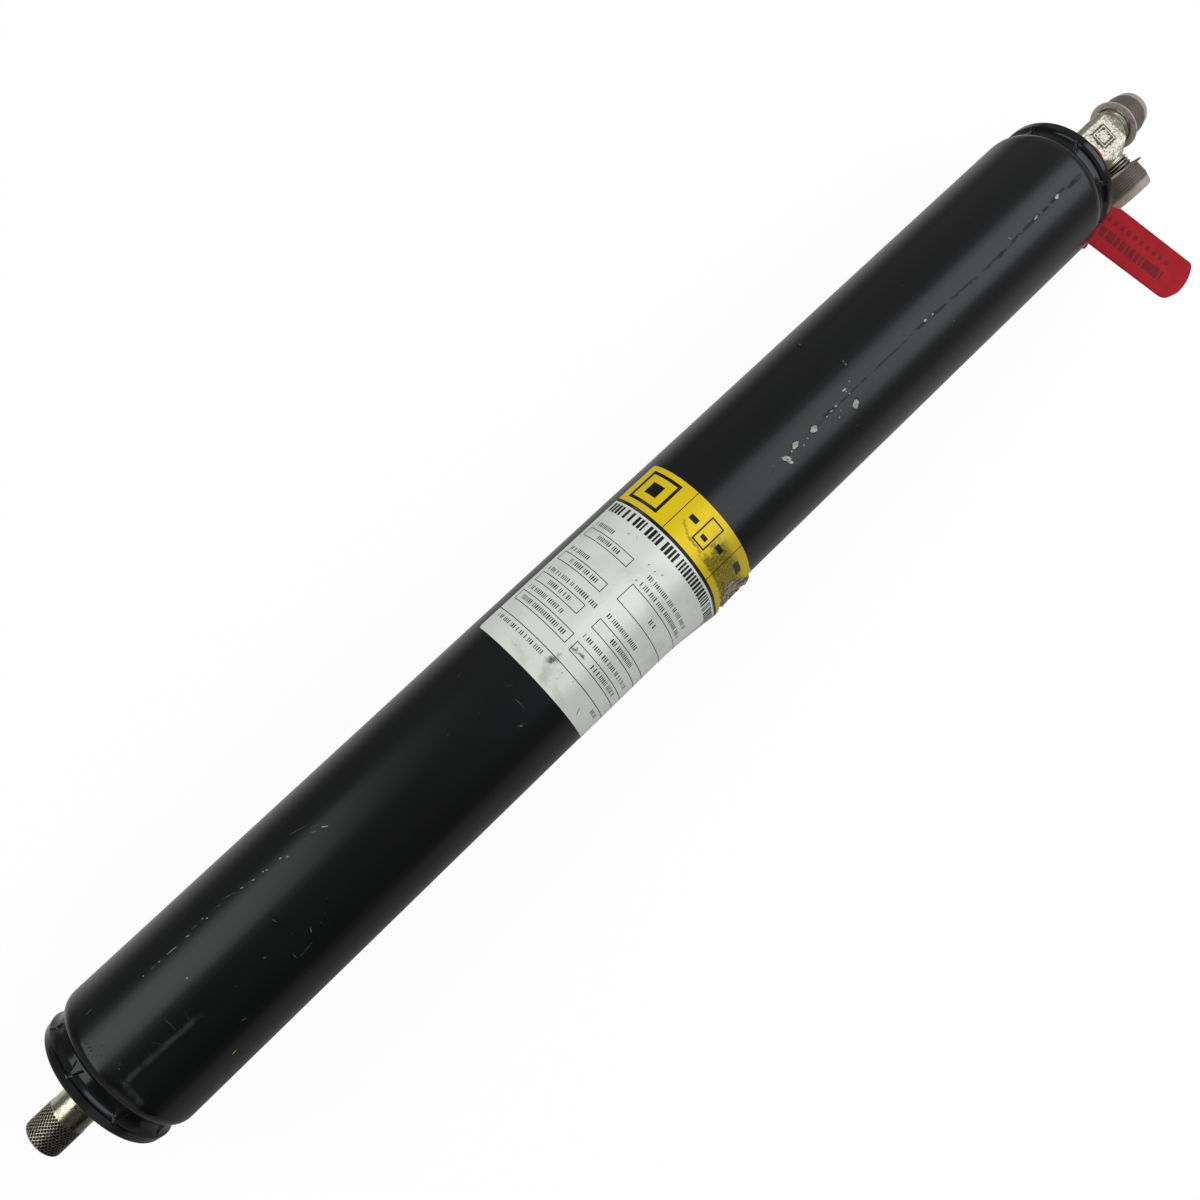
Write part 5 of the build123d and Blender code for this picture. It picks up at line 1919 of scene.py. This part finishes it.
    def forging(self) -> Object:
        """Makes the forged block with soft edges and a grainy skin.

        Returns:
            The forging.
        """
        back = self.side_reach[0]
        stud_end = self.stud_end - self.centre
        hulls = [
            self.corners(-self.reach, self.reach, False),
            [*self.corners(0, self.reach, False), *self.hoop(*self.run_root)],
            [*self.corners(-self.reach, 0, True), *self.hoop(*self.branch_root, branch=True)],
            [*self.hoop(stud_end, self.stud_radius), *self.hoop(back + 1, self.stud_radius)],
            [*self.hoop(back - self.collar_length, self.collar_radius), *self.hoop(back + 1, self.collar_radius)],
            *self.pad(),
        ]
        work = bmesh.new()
        for points in hulls:
            fresh = [work.verts.new((p + Vector((self.centre, 0, 0))) * MM) for p in points]
            found = bmesh.ops.convex_hull(work, input=fresh)
            inside = [v for v in found["geom_interior"] if isinstance(v, bmesh.types.BMVert)]
            bmesh.ops.delete(work, geom=inside, context="VERTS")
        bmesh.ops.recalc_face_normals(work, faces=work.faces)
        made = Mesher.from_work("tee_forging", work, self.finishes.forged)
        skin = made.modifiers.new("skin", "REMESH")
        skin.mode = "VOXEL"
        skin.voxel_size = self.voxel * MM
        soft = made.modifiers.new("soft", "SMOOTH")
        soft.factor = self.softening
        soft.iterations = self.soft_rounds
        mesh = Mesher.settle(made)
        self.roughen(mesh)
        self.store_hollows_and_edges(mesh)
        Mesher.shade(mesh, 80.0)
        return made

    def roughen(self, mesh: Mesh) -> None:
        """Gives the block the uneven skin of a forging.

        Args:
            mesh: The forging's mesh.
        """
        places, normals = Mesher.vectors(mesh, "co"), Mesher.vectors(mesh, "normal")
        height = np.zeros(len(places))
        for number, place in enumerate(places / MM):
            if place[0] > self.centre + self.side_reach[0]:
                spot = Vector(place)
                height[number] = sum(noise.noise(spot * scale) * share for scale, share in self.grain_layers)
        height -= self.grain_sink * (height != 0)
        places += normals * height[:, None] * self.grain * MM
        mesh.vertices.foreach_set("co", places.ravel())
        mesh.update()

    def store_hollows_and_edges(self, mesh: Mesh) -> None:
        """Works out where the skin is hollow (0), flat (0.5) or an edge (1).

        Args:
            mesh: The forging's mesh, which keeps it as an attribute.
        """
        count = len(mesh.vertices)
        places, normals = Mesher.vectors(mesh, "co"), Mesher.vectors(mesh, "normal")
        edges = np.zeros(len(mesh.edges) * 2, np.int32)
        mesh.edges.foreach_get("vertices", edges)
        first, second = edges.reshape(-1, 2).T
        links = np.bincount(edges, minlength=count)

        def spread(values: np.ndarray) -> np.ndarray:
            """Averages each value with those beside it."""
            total = np.bincount(first, values[second], count) + np.bincount(second, values[first], count)
            return total / np.maximum(links, 1)

        middle = places
        for _ in range(self.crest_reach):
            middle = np.stack([spread(middle[:, n]) for n in range(3)], axis=1)
        stands_out = np.einsum("ij,ij->i", places - middle, normals)
        for _ in range(2):
            stands_out = spread(stands_out)
        share = np.clip(0.5 + stands_out / (self.crest_scale * MM), 0.0, 1.0)
        Mesher.keep_numbers(mesh, Relief.attribute, share.astype(np.float32))

    def build(self) -> None:
        """Makes the tee and dresses what it is fastened with."""
        centre = Matrix.Translation((self.centre * MM, 0, 0))
        branch = centre @ Matrix.Rotation(math.radians(-90), 4, "Z")
        parts = [self.forging(), self.outlet("run_thread", self.run_root[0], centre),
                 self.outlet("branch_thread", self.branch_root[0], branch)]
        self.wear(Mesher.joined("tee_forged", parts), "accumulator", "forged_steel", "tee_body")
        self.keep(self.finishes.plated, "port_washer", "tee_locknut")
        self.keep(self.finishes.rubber, "port_o_ring", "run_face_o_ring", "branch_face_o_ring", "oil_cap_o_ring")
        self.keep(self.finishes.backup, "oil_cap_backup_ring")


@dataclass
class PushCap(Assembly):
    """A moulded push-on cap with a flat brim."""

    name: str
    node: str
    body: str
    brim_from_centre: float
    turn: float = 0.0
    tilt: float = 0.0
    length: float = 14.2
    radius: float = 10.1
    end_radius: float = 8.2
    shoulder: float = 8.7
    bore_radius: float = 8.9
    bore_depth: float = 9.9
    wall_end: float = 1.2
    brim_radius: float = 12.1
    brim: float = 0.9
    bend_angle: float = 44.0

    def outline(self) -> list[tuple]:
        """Lists the outline from the closed end's outside over the brim to the bore's bottom.

        Returns:
            The rounded outline's points in millimetres.
        """
        wall = self.radius - self.bore_radius
        inner = self.length - self.wall_end
        return Mesher.rounded((
            (self.length, 0.0, 0), (self.length, self.end_radius, 0.35),
            (self.length - self.brim * 0.6, self.end_radius + 0.6, 0.5), (self.shoulder, self.radius, 0.6),
            (3.4, self.radius, 0.5), (self.brim, self.radius + 0.05, 0.5), (self.brim, self.brim_radius, 0.35),
            (0.0, self.brim_radius, 0.35), (0.0, self.bore_radius + 0.25, 0.15), (4.0, self.bore_radius, 0),
            (self.bore_depth, self.bore_radius, 0.6), (inner, self.end_radius - wall, 0.6), (inner, 0.0, 0),
        ))

    def lean(self, points: np.ndarray) -> np.ndarray:
        """Leans the brim, less and less towards the closed end.

        Args:
            points: Rows of points round the cap in metres.

        Returns:
            The leaned points.
        """
        share = 1 - smooth_step(0.0, self.shoulder, points[..., 0] / MM)
        turn = math.radians(self.bend_angle)
        across = Vector((0, math.cos(turn), math.sin(turn)))
        off = points[..., 1] * across.y + points[..., 2] * across.z
        points = points.copy()
        points[..., 0] += off * math.tan(math.radians(self.tilt)) * share
        return points

    def build(self) -> None:
        """Makes the cap."""
        place = (Matrix.Translation((ForgedTee.centre * MM, 0, 0)) @ Matrix.Rotation(math.radians(self.turn), 4, "Z")
                 @ Matrix.Translation((self.brim_from_centre * MM, 0, 0)))
        made = Mesher.turned(self.name, self.outline(), 128, self.finishes.cap, self.lean)
        Mesher.keep_numbers(made.data, CapPlastic.attribute, [vertex.co.x / MM for vertex in made.data.vertices])
        made.data.transform(place)
        self.wear(made, self.body, "cap_plastic", self.node)


@dataclass
class FlagTag(Assembly):
    """The red tag: strap loop round the stud, strand, lock head, tail and flag."""

    strap_x: float = 292.2
    strap_width: float = 3.4
    loop_width: float = 2.3
    loop_shift: float = -0.5
    strap_thickness: float = 1.4
    strap_corner: float = 0.35
    loop_radius: float = 11.35
    loop_side: float = 2.5
    loop_rise: float = 3.6
    straight_drop: float = 12.0
    foot_side: float = 21.0
    bend_radius: float = 7.0
    floor: float = -31.75
    head: Place = (10.5, 9.0, 4.0)
    head_past_strap: float = 2.4
    head_edge: float = 0.6
    flag_past_strap: float = 15.3
    base_side: float = 23.0
    lean: float = 10.1
    width: float = 27.6
    length: float = 62.29
    bulge: float = 3.2
    slant: float = 1.6
    thickness: float = 1.0
    taper: Span = (0.3, 1.3)
    corner: float = 4.5
    worn_corner: float = 11.0
    tail_width: float = 4.0
    tail_length: float = 12.6
    tail_lean: float = 10.0
    slab_edge: float = 0.3
    bars_from: float = 10.5
    bars_to: float = 50.0
    bar_step: float = 4.1
    bar_length: float = 2.0
    bar_sides: Span = (3.4, 6.4)
    big_bars: tuple[float, ...] = (3.4, 4.6, 2.0, 3.0, 1.6, 2.4, 2.2, 1.4, 9.5, 1.2)
    big_bar_sides: Span = (-6.5, -0.4)
    big_bar_gap: float = 0.9
    bar_sink: float = 0.03
    bar_height: float = 0.04

    def ribbon(self, name: str, route: Sequence[Span], closed: bool, width: float, middle: float) -> Object:
        """Makes a flat strap along a route in the plane across the tube.

        Args:
            name: Name of the object.
            route: Places along -Y and Z in millimetres.
            closed: Whether the route is a loop.
            width: The strap's width in millimetres.
            middle: Where the strap's middle lies along the tube.

        Returns:
            The strap.
        """
        path = np.array(route, float)
        ahead = np.roll(path, -1, 0) - path
        behind = path - np.roll(path, 1, 0)
        if not closed:
            ahead[-1] = behind[-1]
            behind[0] = ahead[0]
        tangent = ahead / np.linalg.norm(ahead, axis=1)[:, None] + behind / np.linalg.norm(behind, axis=1)[:, None]
        tangent /= np.linalg.norm(tangent, axis=1)[:, None]
        normal = np.stack((-tangent[:, 1], tangent[:, 0]), axis=1)
        w, t, r = width / 2, self.strap_thickness / 2, self.strap_corner
        section = [(-w + r, -t), (w - r, -t), (w, -t + r), (w, t - r), (w - r, t), (-w + r, t), (-w, t - r),
                   (-w, -t + r)]
        points = np.array([[(middle + x, y + ny * s, z + nz * s) for x, s in section]
                           for (y, z), (ny, nz) in zip(path, normal)]) * MM
        faces = Mesher.grid_faces(len(path), len(section), closed, True)
        if not closed:
            last = (len(path) - 1) * len(section)
            faces += [tuple(range(len(section))), tuple(range(last, last + len(section)))]
        return Mesher.piece(name, points, faces, [self.finishes.tag], sharp_degrees=40.0)

    def strap_routes(self) -> tuple[list[tuple], list[tuple]]:
        """Works out the routes of the loop and of the strand.

        Returns:
            The loop's places and the strand's places.
        """
        turns = np.linspace(0, 2 * math.pi, 96, endpoint=False)
        loop = [(-self.loop_side + math.cos(a) * self.loop_radius, self.loop_rise + math.sin(a) * self.loop_radius)
                for a in turns]
        side = -self.loop_side - self.loop_radius
        low = self.loop_rise - self.straight_drop
        foot = self.floor + self.strap_thickness / 2
        strand = ((side, self.loop_rise, 0), (side, low, self.bend_radius),
                  (-self.foot_side, foot, self.bend_radius), (-self.foot_side - self.bend_radius, foot, 0))
        return loop, Mesher.rounded(strand, 12)

    def slab(self, name: str, outline: Sequence[Span], base: Vector, lean: float, height: float,
             material: Material, edge: float) -> Object:
        """Makes a flat piece that lies on the floor.

        Args:
            name: Name of the object.
            outline: Its outline as distance from the base and across, in millimetres.
            base: Its base in millimetres.
            lean: Degrees that it leans from -Y towards +X.
            height: Its thickness in millimetres.
            material: Its finish.
            edge: Rounding of its upper edge in millimetres.

        Returns:
            The piece.
        """
        out = Vector((math.sin(math.radians(lean)), -math.cos(math.radians(lean)), 0))
        across = Vector((-out.y, out.x, 0))
        work = bmesh.new()
        ring = [work.verts.new((base + out * u + across * v) * MM) for u, v in outline]
        lifted = bmesh.ops.extrude_face_region(work, geom=[work.faces.new(ring)])
        upper = [v for v in lifted["geom"] if isinstance(v, bmesh.types.BMVert)]
        bmesh.ops.translate(work, verts=upper, vec=(0, 0, height * MM))
        bmesh.ops.recalc_face_normals(work, faces=work.faces)
        top = [e for e in work.edges if all(v.co.z > (base.z + height / 2) * MM for v in e.verts)]
        bmesh.ops.bevel(work, geom=top, offset=edge * MM, segments=3, profile=0.5, affect="EDGES")
        made = Mesher.from_work(name, work, material)
        Mesher.shade(made.data, 40.0)
        return made

    def flag_outline(self) -> list[tuple]:
        """Lists the flag's outline with its bulged, slanted end and its worn corner.

        Returns:
            The outline's points in millimetres.
        """
        half = self.width / 2
        worn = self.length - self.bulge - self.slant
        good = self.length - self.bulge + self.slant / 2
        arc = ((worn, -half), (self.length, 0.0), (good, half))
        shape = np.linalg.solve([[2 * x, 2 * y, 1] for x, y in arc], [-(x * x + y * y) for x, y in arc])
        centre_x, centre_y = -shape[0], -shape[1]
        radius = math.hypot(self.length - centre_x, centre_y)
        end = [(centre_x + math.sqrt(radius**2 - (y - centre_y) ** 2), y)
               for y in np.linspace(-half + self.worn_corner * 0.8, half - self.corner, 14)]
        near, far = self.taper
        corners = [(0.0, near - half, 1.4), (worn, far - half, self.worn_corner), *((x, y, 0) for x, y in end),
                   (good, half, self.corner), (0.0, half, 1.4)]
        return Mesher.rounded(corners, 10)

    def print_bars(self) -> list[tuple]:
        """Lists the plain bars printed on the flag.

        Returns:
            Each bar's stretch along the flag and across it.
        """
        bars = [(along, along + self.bar_length, *self.bar_sides)
                for along in np.arange(self.bars_from, self.bars_to, self.bar_step)]
        along = self.bars_from
        for width in self.big_bars:
            bars.append((along, along + width, *self.big_bar_sides))
            along += width + self.big_bar_gap
        return bars

    def build(self) -> None:
        """Makes the tag in one piece and its print."""
        red = self.finishes.tag
        loop, strand = self.strap_routes()
        base = Vector((self.strap_x + self.flag_past_strap, -self.base_side, self.floor))
        head_base = Vector((self.strap_x + self.head_past_strap, -self.foot_side, self.floor))
        tail_base = Vector((self.strap_x - self.strap_width / 6, -self.base_side, self.floor))
        head_x, head_y, head_z = self.head
        head = Mesher.oblong(-head_y / 2, head_y / 2, -head_x / 2, head_x / 2, 1.4, 1.4)
        tail = Mesher.oblong(0, self.tail_length, -self.tail_width / 2, self.tail_width / 2, 1.2, 1.4)
        parts = [
            self.ribbon("tag_loop", loop, True, self.loop_width, self.strap_x + self.loop_shift),
            self.ribbon("tag_strand", strand, False, self.strap_width, self.strap_x),
            self.slab("tag_head", head, head_base, 0.0, head_z, red, self.head_edge),
            self.slab("tag_tail", tail, tail_base, self.tail_lean, self.thickness, red, self.slab_edge),
            self.slab("tag_flag", self.flag_outline(), base, self.lean, self.thickness, red, self.slab_edge),
        ]
        bar_base = base + Vector((0, 0, self.thickness - self.bar_sink))
        for number, reach in enumerate(self.print_bars()):
            outline = Mesher.oblong(*reach, 0.2, 0.2, 2)
            parts.append(self.slab(f"tag_bar_{number}", outline, bar_base, self.lean, self.bar_height,
                                   self.finishes.tag_print, 0.01))
        self.wear(Mesher.joined("red_tag", parts), "accumulator", "tag_plastic", "flag_tag")


@dataclass(frozen=True)
class SoftLight:
    """A flat soft light that faces down."""

    name: str
    place: Place
    size: Span
    watts: float
    tint: Colour


@dataclass(frozen=True)
class Studio:
    """Floor, lights and camera."""

    camera_place: Place = (-104.1, 3.51, 424.2)
    lean_degrees: float = 11.23
    roll_degrees: float = 43.336
    lens_mm: float = 31.11
    floor_size: float = 30.0
    floor_drop: float = 0.02
    floor_seen: float = 0.93
    soft_lights: tuple[SoftLight, ...] = (
        SoftLight("gas_light", (-800.0, 960.0, 1000.0), (900.0, 1380.0), 6.44, (0.95, 1.0, 0.98)),
        SoftLight("oil_light", (1000.0, -470.0, 1000.0), (1500.0, 1270.0), 9.5, (0.9, 0.93, 1.0)),
    )
    room: float = 0.65
    room_in_gloss: Place = (0.138, 0.17, 0.06)
    least_gloss: float = 0.012
    far_wall: float = 0.26
    far_wall_edge: Span = (-0.55, -0.85)
    card_way: Place = (-0.67, -0.46, 0.58)
    card_edge: Span = (0.92, 0.98)
    card: float = 0.22

    def camera(self) -> None:
        """Makes the camera that looks down along the tube as the photograph does."""
        data = bpy.data.cameras.new("camera")
        data.lens = self.lens_mm
        data.sensor_width = 36.0
        data.clip_start = 0.01
        data.clip_end = 100.0
        lean, roll = math.radians(self.lean_degrees), math.radians(self.roll_degrees)
        level = Vector((math.cos(lean), 0, math.sin(lean)))
        side = Vector((0, 1, 0))
        right = level * math.cos(roll) - side * math.sin(roll)
        up = level * math.sin(roll) + side * math.cos(roll)
        turn = Matrix((right, up, right.cross(up))).transposed().to_4x4()
        made = linked("camera", data)
        made.matrix_world = Matrix.Translation(Vector(self.camera_place) * MM) @ turn
        bpy.context.scene.camera = made

    @staticmethod
    def floor_in_gloss(sheet: ShaderSheet) -> Signal:
        """Works out how bright the floor shows in what shines, from place to place.

        Args:
            sheet: The floor's sheet.

        Returns:
            The brightness.
        """
        x, y, _ = sheet.split(sheet.place)
        behind = y.step(0.2, 0.04).scaled(0.46, 0.16)
        before = x.step(-0.2, 0.2).scaled(0.16, 0.24)
        side = y.step(-0.001, 0.001)
        return side.scaled(behind, (1.0 - side) * before)

    def floor(self) -> None:
        """Makes the white floor, which keeps a faint shadow."""
        half = self.floor_size / 2
        z = (FlagTag.floor - self.floor_drop) * MM
        points = np.array([(-half, -half, z), (half, -half, z), (half, half, z), (-half, half, z)])
        sheet = ShaderSheet("white_floor")
        sheet.set(Base_Color=(1.0, 1.0, 1.0), Roughness=1.0, Specular_IOR_Level=0.0)
        rays = sheet.rays()
        through = rays["Is Transmission Ray"]
        gloss = sheet.maths("SUBTRACT", rays["Is Glossy Ray"], through, clamp=True)
        light = sheet.node("ShaderNodeEmission",
                           {"Strength": gloss.scaled(self.floor_in_gloss(sheet) - 1.0, 1.0)}).outputs[0]
        seen = rays["Is Camera Ray"].scaled(self.floor_seen, gloss)
        seen = sheet.maths("ADD", seen, through, clamp=True)
        mixed = sheet.node("ShaderNodeMixShader", {0: seen, 1: sheet.shader.outputs["BSDF"], 2: light})
        sheet.feed(sheet.output, mixed.outputs[0])
        Mesher.piece("floor", points, [(0, 1, 2, 3)], [sheet.material], facing=Facing.AS_GIVEN)

    def world(self) -> None:
        """Makes the white backdrop and a dim room for what shines."""
        world = bpy.data.worlds.new("room")
        bpy.context.scene.world = world
        world.use_nodes = True
        sheet = NodeSheet(world.node_tree)
        rays = sheet.rays()
        way = sheet.split(sheet.node("ShaderNodeTexCoord").outputs["Generated"])
        level, to_oil, to_back = self.room_in_gloss
        gloss = way[1].scaled(to_back, way[0].scaled(to_oil, level))
        gloss = sheet.maths("MAXIMUM", gloss, self.least_gloss)
        wall = way[0].step(*self.far_wall_edge) * self.far_wall
        toward = [part * share for part, share in zip(way, self.card_way)]
        facing = toward[0] + toward[1] + toward[2]
        gloss = gloss + (wall + facing.step(*self.card_edge) * self.card)
        strength = rays["Is Glossy Ray"].scaled(gloss - self.room, self.room)
        strength = sheet.maths("MAXIMUM", strength, rays["Is Camera Ray"])
        light = sheet.node("ShaderNodeBackground", {"Color": (1.0, 1.0, 1.0), "Strength": strength})
        sheet.node("ShaderNodeOutputWorld", {"Surface": light.outputs[0]})

    def lights(self) -> None:
        """Makes the soft lights over the tube's two ends."""
        for light in self.soft_lights:
            data = bpy.data.lights.new(light.name, "AREA")
            data.shape = "RECTANGLE"
            data.size, data.size_y = (side * MM for side in light.size)
            data.energy = light.watts
            data.color = light.tint
            linked(light.name, data).location = Vector(light.place) * MM

    def build(self) -> None:
        """Makes the whole studio."""
        self.camera()
        self.floor()
        self.world()
        self.lights()
        bpy.context.scene.view_settings.view_transform = "Standard"


def main() -> None:
    """Builds the object's looks round the frame, piece by piece."""
    logging.basicConfig(level=logging.INFO, format="%(relativeCreated)d %(name)s: %(message)s")
    Studio().build()
    finishes = Finishes()
    assemblies = (
        ShellTube(finishes), PaintMarks(finishes), RatingLabel(finishes), GasEnd(finishes), PistonSet(finishes),
        ForgedTee(finishes), PushCap(finishes, "run_cap_moulded", "run_port_cap", "run_cap", 17.6),
        PushCap(finishes, "branch_cap_moulded", "branch_port_cap", "branch_cap", 17.1, turn=-90.0, tilt=10.0),
        FlagTag(finishes),
    )
    for assembly in assemblies:
        assembly.build()


if __name__ == "__main__":
    main()
